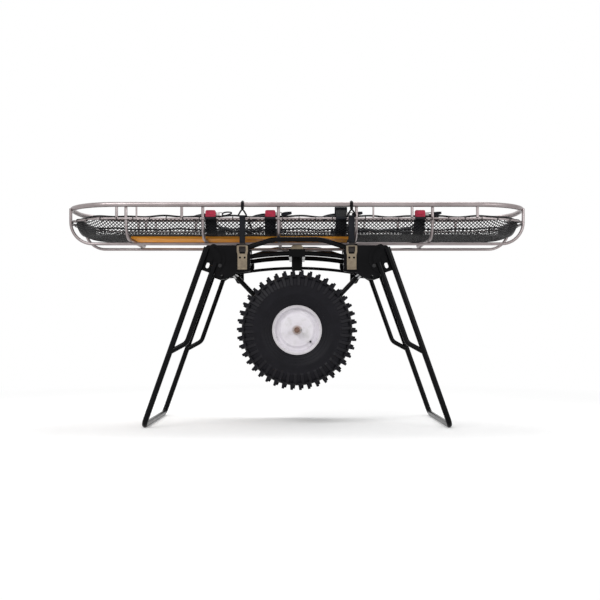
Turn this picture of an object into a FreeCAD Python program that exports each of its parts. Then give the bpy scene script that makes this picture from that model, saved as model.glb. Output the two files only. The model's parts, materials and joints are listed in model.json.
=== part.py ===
"""Wheeled basket litter: a steel basket stretcher strapped onto a two-wheel carrier with swinging handles.

Axes in millimetres: X runs along the litter from the head end (-X) to the foot end (+X), -Y is the near side,
Z is up, and the origin lies on the floor under the middle of the litter.
"""
import FreeCAD
import Part
import math
import os
import sys

from FreeCAD import Placement, Rotation, Vector

doc = FreeCAD.newDocument("WheeledLitter")

# ---------------------------------------------------------------- driving sizes
SIZES = {
    # basket
    "litter_length": 2134, "litter_width": 610, "rail_diameter": 22, "bow_radius": 249,
    "basket_depth": 163, "net_rail_drop": 62, "net_rail_diameter": 8, "rib_diameter": 14,
    "rib_bend": 90, "runner_diameter": 14, "runner_offset": 150, "runner_end_bend": 100,
    "post_diameter": 8, "net_thickness": 3, "net_plan_corner": 230,
    "slat_length": 1003, "slat_width": 62, "slat_thickness": 10, "slat_gap": 17, "slat_centre": -264,
    "screw_diameter": 10, "screw_head": 2.5, "screw_inset": 28, "pad_depth": 50, "pad_width": 300,
    "net_bays": 12, "net_cord": 26,
    # restraints
    "webbing_width": 50, "webbing_thickness": 2, "webbing_bend": 58, "webbing_lift": 2.5, "buckle_width": 46,
    "buckle_height": 38, "buckle_depth": 16, "button_width": 24, "button_height": 16,
    "button_travel": 3, "tongue_width": 30, "tongue_thickness": 3,
    # handles
    "handle_reach": 795.3, "leg_angle": 19.5, "handle_tube": 25.4, "brace_tube": 22.2,
    "tube_spacing": 57, "handle_bend": 36, "tube_top": 42, "brace_start": 8, "brace_bend_at": 387,
    "brace_join_at": 450, "sector_thickness": 6, "sector_radius": 68, "index_radius": 54,
    "index_step": 14, "index_count": 8, "clamp_angle": -15.5, "sector_reach": 60,
    # carrier
    "pivot_span": 774, "pivot_to_axle": 317, "pivot_to_runner": 81, "plate_thickness": 8,
    "plate_inset": 2.5, "pivot_bolt": 16, "clamp_bolt": 8, "running_gap": 0.5, "fit_gap": 0.05,
    "knob_length": 56, "knob_depth": 26, "cross_beam_span": 574, "cross_beam_rise": 253,
    "cross_beam_tube": 22, "strut_tube": 22, "strut_offset": 28, "strut_foot": 47,
    "eye_out": 55, "eye_drop": 79, "eye_radius": 7, "eye_lobe": 15, "plate_rise": 61, "plate_drop": 57,
    "arch_tube": 22, "cradle_offset": 250, "mid_offset": 150, "lower_arch_tube": 14,
    "lower_arch_crown": 295.5, "lower_arch_end": 270, "saddle_span": 500, "saddle_width": 40,
    "saddle_height": 60, "saddle_pad": 6, "post_width": 50, "post_depth": 30,
    "centre_beam_width": 74, "centre_beam_height": 36, "mid_crown": 38, "mid_end": 20,
    "clamp_block_width": 58, "clamp_block_depth": 30,
    "cradle_crown": 92, "cradle_end": 53, "cradle_flat": 110,
    # latches and tie-downs
    "latch_inset": 7, "latch_width": 50, "latch_height": 65, "latch_drop": 53, "latch_plate": 3,
    "latch_pin": 4, "lever_length": 63, "yoke_reach": 102, "yoke_width": 49, "anchor_rise": 48,
    "strap_width": 28, "strap_thickness": 2, "hook_width": 20, "hook_thickness": 3, "ring_wire": 5,
    # wheels
    "axle_diameter": 25, "wheel_offset": 150, "tyre_radius": 272.5, "tyre_width": 178,
    "lug_depth": 20, "lug_count": 42, "lug_tip": 11, "lug_root": 20, "lug_length": 69,
    "lug_stagger": 1.8, "rim_width": 140, "rim_seat": 101.7, "rim_flange": 113, "rim_wall": 3,
    "hub_radius": 22, "hub_length": 128, "housing_diameter": 44, "valve_radius": 82,
    "valve_angle": 40.6, "valve_diameter": 9,
}
sheet = doc.addObject("Spreadsheet::Sheet", "Sizes")
for row, (alias, value) in enumerate(SIZES.items(), start=1):
    sheet.set("A%d" % row, alias)
    sheet.set("B%d" % row, str(value))
    sheet.setAlias("B%d" % row, alias)
doc.recompute()


def size(alias):
    return float(sheet.get(alias))


def half(alias):
    return size(alias) / 2.0


NODES = []          # every sub-part that is written out, in order


# ---------------------------------------------------------------- drawing helpers
def flat(u, v):
    return Vector(u, v, 0)


def rounded(points, radii, closed=False):
    """Straight runs joined by tangent arcs, as curves of a sketch plane."""
    pts = [flat(*p) for p in points]
    count = len(pts)
    curves = []
    corners = range(count) if closed else range(1, count - 1)
    entry = {0: pts[0], count - 1: pts[-1]}
    leave = dict(entry)
    arcs = {}
    for i in corners:
        before, here, after = pts[i - 1], pts[i], pts[(i + 1) % count]
        radius = radii[i] if isinstance(radii, (list, tuple)) else radii
        to_before = (before - here).normalize()
        to_after = (after - here).normalize()
        opening = to_before.getAngle(to_after)
        if radius <= 0 or opening > math.pi - 1e-6:
            entry[i] = leave[i] = here
            continue
        back = radius / math.tan(opening / 2)
        entry[i] = here + to_before * back
        leave[i] = here + to_after * back
        inward = (to_before + to_after).normalize()
        middle = here + inward * (radius / math.sin(opening / 2) - radius)
        arcs[i] = Part.Arc(entry[i], middle, leave[i])
    for i in range(count):
        if i in arcs:
            curves.append(arcs[i])
        following = i + 1
        if following == count:
            if not closed:
                break
            following = 0
        if leave[i].distanceToPoint(entry[following]) > 1e-6:
            curves.append(Part.LineSegment(leave[i], entry[following]))
    return curves


def plane_xy(height=0.0):
    return Placement(Vector(0, 0, height), Rotation())


def plane_xz(across=0.0):
    return Placement(Vector(0, across, 0), Rotation(Vector(1, 0, 0), 90))


def plane_yz(along=0.0):
    return Placement(Vector(along, 0, 0), Rotation(Vector(1, 1, 1), 120))


def free_sketch(name, curves, placement):
    sketch = doc.addObject("Sketcher::SketchObject", name)
    sketch.Placement = placement
    sketch.addGeometry(curves, False)
    return sketch


def sweep(name, section, spine, edge_count):
    pipe = doc.addObject("Part::Sweep", name)
    pipe.Sections = [section]
    pipe.Spine = (spine, ["Edge%d" % (i + 1) for i in range(edge_count)])
    pipe.Solid = True
    pipe.Frenet = False
    return pipe


def start_frame(curves, placement):
    """The placement whose Z points along the path at its start, with Y kept across the path's plane."""
    first = curves[0]
    origin = first.value(first.FirstParameter)
    heading = first.tangent(first.FirstParameter)[0]
    across = Vector(0, 0, 1)
    side = across.cross(heading)
    turn = Rotation(side, across, heading, "ZXY")
    return placement * Placement(origin, turn)


def tube(name, points, bends, diameter, placement, closed=False):
    """A round tube or bar along straight runs and tangent bends."""
    curves = rounded(points, bends, closed)
    spine = free_sketch(name + "Path", curves, placement)
    ring = doc.addObject("Part::Circle", name + "Section")
    ring.setExpression("Radius", "Sizes.%s / 2" % diameter)
    ring.Placement = start_frame(curves, placement)
    return sweep(name, ring, spine, len(curves))


def strip(name, points, bends, width, thickness, placement):
    """A flat band along straight runs and tangent bends; its width stands across the path's plane."""
    curves = rounded(points, bends)
    spine = free_sketch(name + "Path", curves, placement)
    w = half(width)
    h = half(thickness)
    corners = [(-h, -w), (h, -w), (h, w), (-h, w)]
    section = free_sketch(name + "Section", rounded(corners, 0, closed=True),
                          start_frame(curves, placement))
    return sweep(name, section, spine, len(curves))


def plane_of(body, role):
    for feature in body.Origin.OriginFeatures:
        if feature.Role == role:
            return feature
    raise ValueError(role)


def new_body(name):
    return doc.addObject("PartDesign::Body", name)


def body_sketch(body, role, curves, offset=0.0):
    sketch = body.newObject("Sketcher::SketchObject", body.Name + "Sketch")
    sketch.AttachmentSupport = [(plane_of(body, role), "")]
    sketch.MapMode = "FlatFace"
    sketch.AttachmentOffset = Placement(Vector(0, 0, offset), Rotation())
    sketch.addGeometry(curves, False)
    return sketch


def pad(body, sketch, length):
    """Pads by a sheet expression or a plain length along the sketch's normal."""
    feature = body.newObject("PartDesign::Pad", body.Name + "Pad")
    feature.Profile = sketch
    if isinstance(length, str):
        feature.setExpression("Length", length)
    else:
        feature.Length = length
    sketch.Visibility = False
    return feature


def pocket(body, sketch, reverse=False):
    feature = body.newObject("PartDesign::Pocket", body.Name + "Pocket")
    feature.Profile = sketch
    feature.Type = "ThroughAll"
    feature.Reversed = reverse
    return feature


def circle_at(u, v, radius):
    return Part.Circle(flat(u, v), Vector(0, 0, 1), radius)


def revolve(body, sketch):
    feature = body.newObject("PartDesign::Revolution", body.Name + "Revolution")
    feature.Profile = sketch
    feature.ReferenceAxis = (sketch, ["V_Axis"])
    feature.Angle = 360
    return feature


def cylinder(name, radius, length, base, direction):
    rod = doc.addObject("Part::Cylinder", name)
    for prop, amount in (("Radius", radius), ("Height", length)):
        if isinstance(amount, str):
            rod.setExpression(prop, amount)
        else:
            setattr(rod, prop, amount)
    rod.Placement = Placement(Vector(*base), Rotation(Vector(0, 0, 1), Vector(*direction)))
    return rod


def block(name, low, high):
    box = doc.addObject("Part::Box", name)
    box.Length = high[0] - low[0]
    box.Width = high[1] - low[1]
    box.Height = high[2] - low[2]
    box.Placement = Placement(Vector(*low), Rotation())
    return box


def fuse(name, shapes):
    joined = doc.addObject("Part::MultiFuse", name)
    joined.Shapes = shapes
    return joined


def cut(name, base, tool):
    result = doc.addObject("Part::Cut", name)
    result.Base = base
    result.Tool = tool
    return result


def mirrored(source, normal):
    copy = doc.addObject("Part::Mirroring", source.Name + "Mirror")
    copy.Source = source
    copy.Normal = Vector(*normal)
    return copy


ACROSS = (0, 1, 0)
ALONG = (1, 0, 0)


def both_sides(source):
    return [source, mirrored(source, ACROSS)]


def both_ends(source):
    return [source, mirrored(source, ALONG)]


def four_corners(source):
    """Head near, head far, foot near, foot far."""
    near_and_far = both_sides(source)
    return near_and_far + [mirrored(item, ALONG) for item in near_and_far]


def group(name, members):
    compound = doc.addObject("Part::Compound", name)
    compound.Links = members
    return compound


def node(label, feature):
    """Names a finished sub-part and adds it to those written out."""
    feature.Label = label
    NODES.append(feature)
    return feature


# ---------------------------------------------------------------- stations worked out from the sizes
leg = math.radians(size("leg_angle"))
tube_side = half("tube_spacing")
pivot_x = -half("pivot_span")
pivot_z = (half("handle_tube") + size("handle_reach") * math.cos(leg) - tube_side * math.sin(leg))
axle_z = pivot_z - size("pivot_to_axle")
runner_z = pivot_z + size("pivot_to_runner")
rail_z = runner_z + size("basket_depth")
rail_y = half("litter_width") - half("rail_diameter")
rail_x = half("litter_length") - half("rail_diameter")
straight_x = rail_x - size("bow_radius")
net_rail_z = rail_z - size("net_rail_drop")
touch = 0.1                                  # hairline between round bars laid side by side
rib_y = rail_y - half("net_rail_diameter") - half("rib_diameter") - touch
rib_z = runner_z + half("runner_diameter") + half("rib_diameter") + touch
half_length = half("litter_length")
saddle_x = half("saddle_span")
latch_x = -saddle_x + size("latch_inset")
# The bays are uneven: the middle ribs stand beside the strap latches, the outer ones at shares of the length.
rib_xs = [-0.718 * half_length, latch_x - 179, latch_x + 160, 23 - latch_x, 0.5689 * half_length]
post_xs = [-0.7554 * half_length, -0.672 * half_length, -0.4827 * half_length, rib_xs[3] + 75,
           0.4817 * half_length, 0.7554 * half_length]
plate_face = half("litter_width") + size("plate_inset")
plate_back = plate_face - size("plate_thickness")
sector_in = plate_face + size("running_gap")
sector_out = sector_in + size("sector_thickness")
leg_y = sector_out + half("handle_tube")
saddle_top = runner_z - half("runner_diameter") - size("saddle_pad")
saddle_bottom = saddle_top - size("saddle_height")
cross_x = half("cross_beam_span")
cross_z = axle_z + size("cross_beam_rise")

# ---------------------------------------------------------------- basket: rails, runners, ribs and posts
def straight_rail(side):
    return cylinder("TopRail", "Sizes.rail_diameter / 2", 2 * straight_x,
                    (-straight_x, side * rail_y, rail_z), (1, 0, 0))


near_rail = node("top_rail_near", straight_rail(-1))
far_rail = node("top_rail_far", straight_rail(1))

bow_points = [(-straight_x, -rail_y), (-rail_x, -rail_y), (-rail_x, rail_y), (-straight_x, rail_y)]
head_bow = node("head_bow", tube("HeadBow", bow_points, size("bow_radius"), "rail_diameter", plane_xy(rail_z)))
foot_bow = node("foot_bow", mirrored(head_bow, ALONG))
rail_tool = fuse("RailTool", [near_rail, far_rail, head_bow, foot_bow])

# The net rail runs right round the basket under the top rail.
loop = [(0, -rail_y), (rail_x, -rail_y), (rail_x, rail_y), (-rail_x, rail_y), (-rail_x, -rail_y), (0, -rail_y)]
net_rail = node("net_rail", tube("NetRail", loop, size("bow_radius"), "net_rail_diameter", plane_xy(net_rail_z)))

# Two runners under the basket, swept up inside the bows at both ends.
runner_end = rail_x - half("net_rail_diameter") - half("runner_diameter") - touch
runner_points = [(-runner_end, rail_z), (-runner_end, runner_z), (runner_end, runner_z), (runner_end, rail_z)]
runner = tube("Runner", runner_points, size("runner_end_bend"), "runner_diameter",
              plane_xz(-size("runner_offset")))
node("runners", cut("Runners", group("RunnerPair", both_sides(runner)), rail_tool))


def full_rib(index, station):
    """A U-shaped bar from rail to rail, laid over the runners."""
    points = [(-rib_y, rail_z), (-rib_y, rib_z), (rib_y, rib_z), (rib_y, rail_z)]
    return tube("Rib%d" % index, points, size("rib_bend"), "rib_diameter", plane_yz(station))


ribs = group("RibSet", [full_rib(i, x) for i, x in enumerate(rib_xs)])
node("ribs", cut("Ribs", ribs, rail_tool))


def rail_post(index, station):
    length = size("net_rail_drop") - half("net_rail_diameter")
    return cylinder("Post%d" % index, "Sizes.post_diameter / 2", length,
                    (station, -rail_y, rail_z - length), (0, 0, 1))


post_pairs = []
for index, station in enumerate(post_xs):
    post_pairs += both_sides(rail_post(index, station))
node("rail_posts", cut("RailPosts", group("PostSet", post_pairs), rail_tool))


# ---------------------------------------------------------------- basket: netting, slats and end pads
net_x = runner_end - half("runner_diameter") - touch
net_y = rib_y - half("rib_diameter") - touch
net_z = rib_z + half("rib_diameter") + touch
net_top = net_rail_z + half("net_rail_diameter")
net_corner = size("rib_bend") - half("rib_diameter") - touch


def basket_core(name, inset, top):
    """The space inside the ribs: rounded in plan, with a large radius round the floor."""
    body = new_body(name)
    x = net_x - inset
    y = net_y - inset
    outline = [(-x, -y), (x, -y), (x, y), (-x, y)]
    plan = rounded(outline, size("net_plan_corner") - inset, closed=True)
    floor = net_z + inset
    sketch = body_sketch(body, "XY_Plane", plan, floor)
    block_pad = pad(body, sketch, top - floor)
    doc.recompute()
    edges = []
    for number, edge in enumerate(block_pad.Shape.Edges, start=1):
        if abs(edge.CenterOfMass.z - floor) < 0.01:
            edges.append("Edge%d" % number)
    fillet = body.newObject("PartDesign::Fillet", name + "Fillet")
    fillet.Base = (block_pad, edges)
    fillet.Radius = net_corner - inset
    return body


net_outer = basket_core("NetOuter", 0, net_top)
net_inner = basket_core("NetInner", size("net_thickness"), net_top + size("rail_diameter"))
net_shell = cut("NetShell", net_outer, net_inner)
bays = int(size("net_bays"))
bay_x = 2 * (net_x - size("net_plan_corner") / 2) / bays
mesh_tools = []
for index in range(bays):
    start = (index - bays / 2) * bay_x + size("net_cord") / 2
    stop = start + bay_x - size("net_cord")
    side_low = net_z + size("net_cord")
    side_high = net_top - size("net_cord") / 2
    mesh_tools.append(block("SideBay%d" % index, (start, -net_y - 1, side_low), (stop, net_y + 1, side_high)))
    bay_y = (net_y - net_corner / 2) / 2
    for row in range(4):
        near = (row - 2) * bay_y + size("net_cord") / 2
        far = near + bay_y - size("net_cord")
        mesh_tools.append(block("FloorBay%d" % index, (start, near, net_z - 1), (stop, far, net_z + 12)))
end_window = (net_y - size("net_plan_corner") / 2) / 2
for row in range(2):
    near = (row - 1) * 2 * end_window + size("net_cord") / 2
    far = near + 2 * end_window - size("net_cord")
    mesh_tools.append(block("EndBay%d" % row, (-net_x - 1, near, side_low), (net_x + 1, far, side_high)))
node("netting", cut("Netting", net_shell, group("MeshTools", mesh_tools)))

floor_top = net_z + size("net_thickness")
slat_pitch = size("slat_width") + size("slat_gap")
slats = []
screws = []
for index in range(4):
    middle = (index - 1.5) * slat_pitch
    slat = doc.addObject("Part::Box", "Slat%d" % index)
    slat.setExpression("Length", "Sizes.slat_length")
    slat.setExpression("Width", "Sizes.slat_width")
    slat.setExpression("Height", "Sizes.slat_thickness")
    slat_start = size("slat_centre") - half("slat_length")
    slat.Placement = Placement(Vector(slat_start, middle - half("slat_width"), floor_top), Rotation())
    slats.append(slat)
    slat_end = slat_start + size("slat_length")
    inside = [x for x in rib_xs if slat_start + size("screw_inset") < x < slat_end - size("screw_inset")]
    for station in [slat_start + size("screw_inset")] + inside + [slat_end - size("screw_inset")]:
        foot = (station, middle, floor_top + size("slat_thickness") - size("screw_head"))
        screws.append(cylinder("SlatScrew", "Sizes.screw_diameter / 2", "Sizes.screw_head", foot, (0, 0, 1)))
screw_set = group("SlatScrews", screws)
node("slats", cut("Slats", group("SlatSet", slats), screw_set))
node("slat_screws", screw_set)

pad_fit = basket_core("PadFit", size("net_thickness") + 0.3, rail_z - half("rail_diameter"))
pad_inner_x = net_x - size("net_thickness") - size("pad_depth")
pad_box = block("PadBox", (-net_x, -half("pad_width"), net_z + 15), (-pad_inner_x, half("pad_width"), rail_z))
end_pad = doc.addObject("Part::Common", "HeadPad")
end_pad.Base = pad_fit
end_pad.Tool = pad_box
node("end_pads", group("EndPads", both_ends(end_pad)))

# ---------------------------------------------------------------- restraints across the basket
strap_xs = [rib_xs[1] + 34, rib_xs[2] - 37, rib_xs[3] - 68, rib_xs[4] - 55]      # each beside a rib
webbing_gap = 0.3
wrap = half("rail_diameter") + webbing_gap + half("webbing_thickness")
drop_y = rail_y - 32
lie_z = floor_top + size("slat_thickness") + size("webbing_lift") + webbing_gap + half("webbing_thickness")


def patient_strap(index, station):
    """Looped over both rails, down inside the basket and slack across the slats."""
    over = rail_z + wrap
    side = [(-rail_y - wrap, rail_z - wrap), (-rail_y - wrap, over), (-drop_y, over), (-drop_y, lie_z)]
    points = side + [(-u, v) for u, v in reversed(side)]
    bends = [0, wrap - 0.2, wrap - 0.2, size("webbing_bend")]
    bends += list(reversed(bends))
    return strip("Webbing%d" % index, points, bends, "webbing_width", "webbing_thickness", plane_yz(station))


node("patient_webbing", group("PatientWebbing", [patient_strap(i, x) for i, x in enumerate(strap_xs)]))

buckle_back = drop_y + half("webbing_thickness") + webbing_gap
buckle_low = net_rail_z + half("net_rail_diameter") + 4
buckle_mid = buckle_low + half("buckle_height")
shell = 3.0                                   # wall of the moulded buckle housing
buckle_shells = []
tongues = []
button_nodes = []
for index, station in enumerate(strap_xs):
    body = new_body("Buckle%d" % index)
    w = half("buckle_width")
    t = half("buckle_height")
    outline = rounded([(station - w, buckle_mid - t), (station + w, buckle_mid - t),
                       (station + w, buckle_mid + t), (station - w, buckle_mid + t)], 7, closed=True)
    pad(body, body_sketch(body, "XZ_Plane", outline, buckle_back), "Sizes.buckle_depth")
    bw = half("button_width")
    bt = half("button_height")
    well = rounded([(station - bw - 0.5, buckle_mid - bt - 0.5), (station + bw + 0.5, buckle_mid - bt - 0.5),
                    (station + bw + 0.5, buckle_mid + bt + 0.5), (station - bw - 0.5, buckle_mid + bt + 0.5)],
                   2.5, closed=True)
    face = buckle_back + size("buckle_depth")
    hole = body.newObject("PartDesign::Pocket", "ButtonWell%d" % index)
    hole.Profile = body_sketch(body, "XZ_Plane", well, face)
    hole.Length = size("buckle_depth") - shell
    buckle_shells.append(body)

    button = new_body("Button%d" % index)
    cap = rounded([(station - bw, buckle_mid - bt), (station + bw, buckle_mid - bt),
                   (station + bw, buckle_mid + bt), (station - bw, buckle_mid + bt)], 2, closed=True)
    start = buckle_back + shell + size("button_travel") + 0.5
    pad(button, body_sketch(button, "XZ_Plane", cap, start), face + 1.0 - start)
    button_nodes.append(node("release_button_%d" % (index + 1), button))

    tongue = new_body("Tongue%d" % index)
    tw = half("tongue_width")
    low = buckle_mid + t
    high = rail_z + 4
    plate = rounded([(station - tw, low), (station + tw, low), (station + tw, high), (station - tw, high)],
                    [0, 0, 5, 5], closed=True)
    slot = rounded([(station - tw + 5, high - 9), (station + tw - 5, high - 9),
                    (station + tw - 5, high - 5), (station - tw + 5, high - 5)], 1.5, closed=True)
    pad(tongue, body_sketch(tongue, "XZ_Plane", plate + slot, buckle_back + 1.5), "Sizes.tongue_thickness")
    tongues.append(tongue)
node("buckle_housings", group("BuckleHousings", buckle_shells))
node("buckle_tongues", group("BuckleTongues", tongues))

# ---------------------------------------------------------------- carrier: hub plates and beams
index_angle = math.radians(size("index_step"))
clamp_at = math.radians(size("clamp_angle"))
clamp_rest = clamp_at - leg                  # direction of the clamp bolt from the pivot, in the carrier
clamp_x = pivot_x + size("index_radius") * math.cos(clamp_rest)
clamp_z = pivot_z + size("index_radius") * math.sin(clamp_rest)
saddle_in = -saddle_x + half("saddle_width")
latch_low = pivot_z - size("latch_drop")
tab_x = latch_x + half("latch_width") + 10
eye_x = pivot_x + size("eye_out")
eye_z = pivot_z - size("eye_drop")
plate_top = pivot_z + size("plate_rise")
plate_edge = half("pivot_bolt") + 7
outer_edge = [(pivot_x - 1, pivot_z - size("plate_drop")), (pivot_x - 1, pivot_z - plate_edge),
              (pivot_x - plate_edge, pivot_z + 2), (pivot_x - plate_edge - 6, plate_top - 19),
              (pivot_x - plate_edge - 6, plate_top)]
outer_radii = [8, 4, 6, 20, 14]


def hub_plate(name, points, radii, with_eye):
    """A side plate that carries the pivot, the clamp bolt and both transverse beams."""
    body = new_body(name)
    curves = rounded(outer_edge + points, outer_radii + radii, closed=True)
    pad(body, body_sketch(body, "XZ_Plane", curves, plate_back), "Sizes.plate_thickness")
    holes = [circle_at(pivot_x, pivot_z, half("pivot_bolt")),
             circle_at(clamp_x, clamp_z, half("clamp_bolt") + size("fit_gap"))]
    if with_eye:
        holes.append(circle_at(eye_x, eye_z, size("eye_radius")))
    pocket(body, body_sketch(body, "XZ_Plane", holes, plate_face))
    return body


# The near plates also carry the strap latch on a tab, and an eye in a round lobe.
lobe = size("eye_lobe")
near_edge = [(tab_x - 18, plate_top), (tab_x, plate_top - 26), (tab_x, latch_low - 4), (-cross_x + 18, latch_low - 11),
             (-cross_x, cross_z - 16), (eye_x + lobe, eye_z - lobe + 3), (eye_x - lobe - 6, eye_z - lobe + 2),
             (eye_x - lobe - 14, eye_z + 9)]
near_plate = hub_plate("NearPlate", near_edge, [12, 8, 6, 10, 8, 13, 15, 8], True)
far_edge = [(tab_x - 30, plate_top), (tab_x - 12, plate_top - 26), (tab_x - 12, pivot_z - 22), (-cross_x + 16, pivot_z - 24),
            (-cross_x + 17, cross_z - 17), (-cross_x - 18, cross_z - 17), (-cross_x - 32, pivot_z - 52)]
far_plate = mirrored(hub_plate("FarPlate", far_edge, [12, 8, 6, 8, 15, 15, 10], False), ACROSS)
node("hub_plates", group("HubPlates", both_ends(near_plate) + both_ends(far_plate)))

cross_beam = cylinder("CrossBeam", "Sizes.cross_beam_tube / 2", 2 * plate_back, (-cross_x, -plate_back, cross_z),
                      (0, 1, 0))
node("cross_beams", group("CrossBeams", both_ends(cross_beam)))

saddle = block("SaddleBeam", (-saddle_x - half("saddle_width"), -plate_back, saddle_bottom),
               (saddle_in, plate_back, saddle_top))
node("saddle_beams", group("SaddleBeams", both_ends(saddle)))

saddle_pad = block("SaddlePad", (-saddle_x - 22, -size("runner_offset") - 20, saddle_top),
                   (-saddle_x + 22, -size("runner_offset") + 20, runner_z - half("runner_diameter")))
node("saddle_pads", group("SaddlePads", four_corners(saddle_pad)))

# ---------------------------------------------------------------- carrier: arches, post and struts
def arched(name, end_z, crown_z, across, diameter):
    """A bar bent to one long arc between the two saddle beams."""
    low = flat(saddle_in, end_z)
    arc = Part.Arc(low, flat(0, crown_z), flat(-saddle_in, end_z))
    place = plane_xz(across)
    spine = free_sketch(name + "Path", [arc], place)
    ring = doc.addObject("Part::Circle", name + "Section")
    ring.setExpression("Radius", "Sizes.%s / 2" % diameter)
    ring.Placement = start_frame([arc], place)
    return sweep(name, ring, spine, 1)


saddle_tool = fuse("SaddleTool", both_ends(saddle))
mid_arch = arched("MidArch", pivot_z + size("mid_end"), pivot_z + size("mid_crown"), -size("mid_offset"),
                  "arch_tube")
mid_cut = cut("MidArches", group("MidArchPair", both_sides(mid_arch)), saddle_tool)
node("mid_arches", mid_cut)

cradle_points = [(saddle_in, pivot_z + size("cradle_end")), (-size("cradle_flat"), pivot_z + size("cradle_crown")),
                 (size("cradle_flat"), pivot_z + size("cradle_crown")), (-saddle_in, pivot_z + size("cradle_end"))]
cradle = tube("CradleArch", cradle_points, 180, "arch_tube", plane_xz(-size("cradle_offset")))
node("cradle_arches", cut("CradleArches", group("CradlePair", both_sides(cradle)), saddle_tool))

lower_low = axle_z + size("lower_arch_end")
lower_crown = axle_z + size("lower_arch_crown")
lower_arc = Part.Arc(flat(-cross_x, lower_low), flat(0, lower_crown), flat(cross_x, lower_low))
lower_path = free_sketch("LowerArchPath", [lower_arc], plane_xz())
lower_ring = doc.addObject("Part::Circle", "LowerArchSection")
lower_ring.setExpression("Radius", "Sizes.lower_arch_tube / 2")
lower_ring.Placement = start_frame([lower_arc], plane_xz())
beam_tool = fuse("BeamTool", both_ends(cross_beam))
node("lower_arch", cut("LowerArch", sweep("LowerArchBar", lower_ring, lower_path, 1), beam_tool))

beam_low = pivot_z + half("centre_beam_height") + 2
beam_reach = size("mid_offset") + half("arch_tube") + 3
centre_box = block("CentreBox", (-half("centre_beam_width"), -beam_reach, beam_low),
                   (half("centre_beam_width"), beam_reach, beam_low + size("centre_beam_height")))
node("centre_beam", cut("CentreBeam", centre_box, mid_cut))
post_box = block("CentrePostBox", (-half("post_width"), -half("post_depth"), lower_crown - 12),
                 (half("post_width"), half("post_depth"), beam_low))
node("centre_post", cut("CentrePost", post_box, doc.getObject("LowerArch")))
beam_top = beam_low + size("centre_beam_height")
clamp_body = new_body("CentreClamp")
clamp_top = runner_z - half("runner_diameter") - 0.1
clamp_half = half("clamp_block_width")
clamp_points = [(-clamp_half, beam_top), (clamp_half, beam_top), (clamp_half, beam_top + 9), (clamp_half - 10, clamp_top),
                (10 - clamp_half, clamp_top), (-clamp_half, beam_top + 9)]
clamp_curves = rounded(clamp_points, [0, 0, 3, 4, 4, 3], closed=True)
clamp_start = size("runner_offset") - half("clamp_block_depth")
pad(clamp_body, body_sketch(clamp_body, "XZ_Plane", clamp_curves, clamp_start), "Sizes.clamp_block_depth")
node("centre_clamp", group("CentreClamps", both_sides(clamp_body)))

housing_length = 2 * (size("wheel_offset") - half("hub_length")) - 0.6
housing_tube = cylinder("HousingTube", "Sizes.housing_diameter / 2", housing_length,
                        (0, -housing_length / 2, axle_z), (0, 1, 0))
bracket = new_body("HousingBracket")
foot = size("strut_foot")
bracket_points = [(-foot - 12, axle_z - 6), (-foot - 4, axle_z + 24), (foot + 4, axle_z + 24), (foot + 12, axle_z - 6),
                  (22, axle_z - 27), (-22, axle_z - 27)]
bracket_depth = 2 * size("strut_offset") + size("strut_tube") + 8
pad(bracket, body_sketch(bracket, "XZ_Plane", rounded(bracket_points, 8, closed=True), -bracket_depth / 2),
    bracket_depth)
axle_bore = cylinder("AxleBore", "Sizes.axle_diameter / 2", housing_length + 2,
                     (0, -housing_length / 2 - 1, axle_z), (0, 1, 0))
housing = cut("AxleHousing", fuse("HousingSolid", [housing_tube, bracket]), axle_bore)
node("axle_housing", housing)

strut_top = Vector(-cross_x, -size("strut_offset"), cross_z)
strut_low = Vector(-foot, -size("strut_offset"), axle_z)
strut_run = strut_low - strut_top
strut = cylinder("Strut", "Sizes.strut_tube / 2", strut_run.Length, strut_top, strut_run)
strut_tool = fuse("StrutTool", [beam_tool, housing_tube, bracket])
node("axle_struts", cut("AxleStruts", group("StrutSet", four_corners(strut)), strut_tool))

axle_end = size("wheel_offset") + half("hub_length") + 34
axle_rod = cylinder("AxleRod", "Sizes.axle_diameter / 2", 2 * axle_end, (0, -axle_end, axle_z), (0, 1, 0))
pin_y = axle_end - 12
pin_hole = cylinder("PinHole", 3, 60, (-30, -pin_y, axle_z), (1, 0, 0))
pin_holes = group("PinHoles", both_sides(pin_hole))
node("axle", cut("Axle", axle_rod, pin_holes))
lynch = cylinder("LynchPin", 3, 42, (-19, -pin_y, axle_z), (1, 0, 0))
lynch_head = cylinder("LynchHead", 5.5, 4, (19, -pin_y, axle_z), (1, 0, 0))
node("lynch_pins", group("LynchPins", both_sides(fuse("LynchPinWhole", [lynch, lynch_head]))))
hub_end = size("wheel_offset") + half("hub_length") + 0.3
washer_disc = cylinder("WasherDisc", 20, 4, (0, -hub_end - 4, axle_z), (0, 1, 0))
washer_hole = cylinder("WasherHole", "Sizes.axle_diameter / 2", 6, (0, -hub_end - 5, axle_z), (0, 1, 0))
node("axle_washers", group("AxleWashers", both_sides(cut("AxleWasher", washer_disc, washer_hole))))


# ---------------------------------------------------------------- pivots and clamp knobs
def pivot_fastener():
    """A shouldered bolt with a round head outside the handle and a hex nut inside the hub plate."""
    shank = cylinder("PivotShank", "Sizes.pivot_bolt / 2", sector_out + 0.4 - plate_back + 10,
                     (pivot_x, -sector_out - 0.4, pivot_z), (0, 1, 0))
    head = cylinder("PivotHead", 14, 7, (pivot_x, -sector_out - 7.4, pivot_z), (0, 1, 0))
    nut = doc.addObject("Part::Prism", "PivotNut")
    nut.Polygon = 6
    nut.Circumradius = 14
    nut.Height = 10
    nut.Placement = Placement(Vector(pivot_x, -plate_back, pivot_z), Rotation(Vector(0, 0, 1), Vector(0, 1, 0)))
    return fuse("PivotBolt", [shank, head, nut])


node("pivot_bolts", group("PivotBolts", four_corners(pivot_fastener())))


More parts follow.
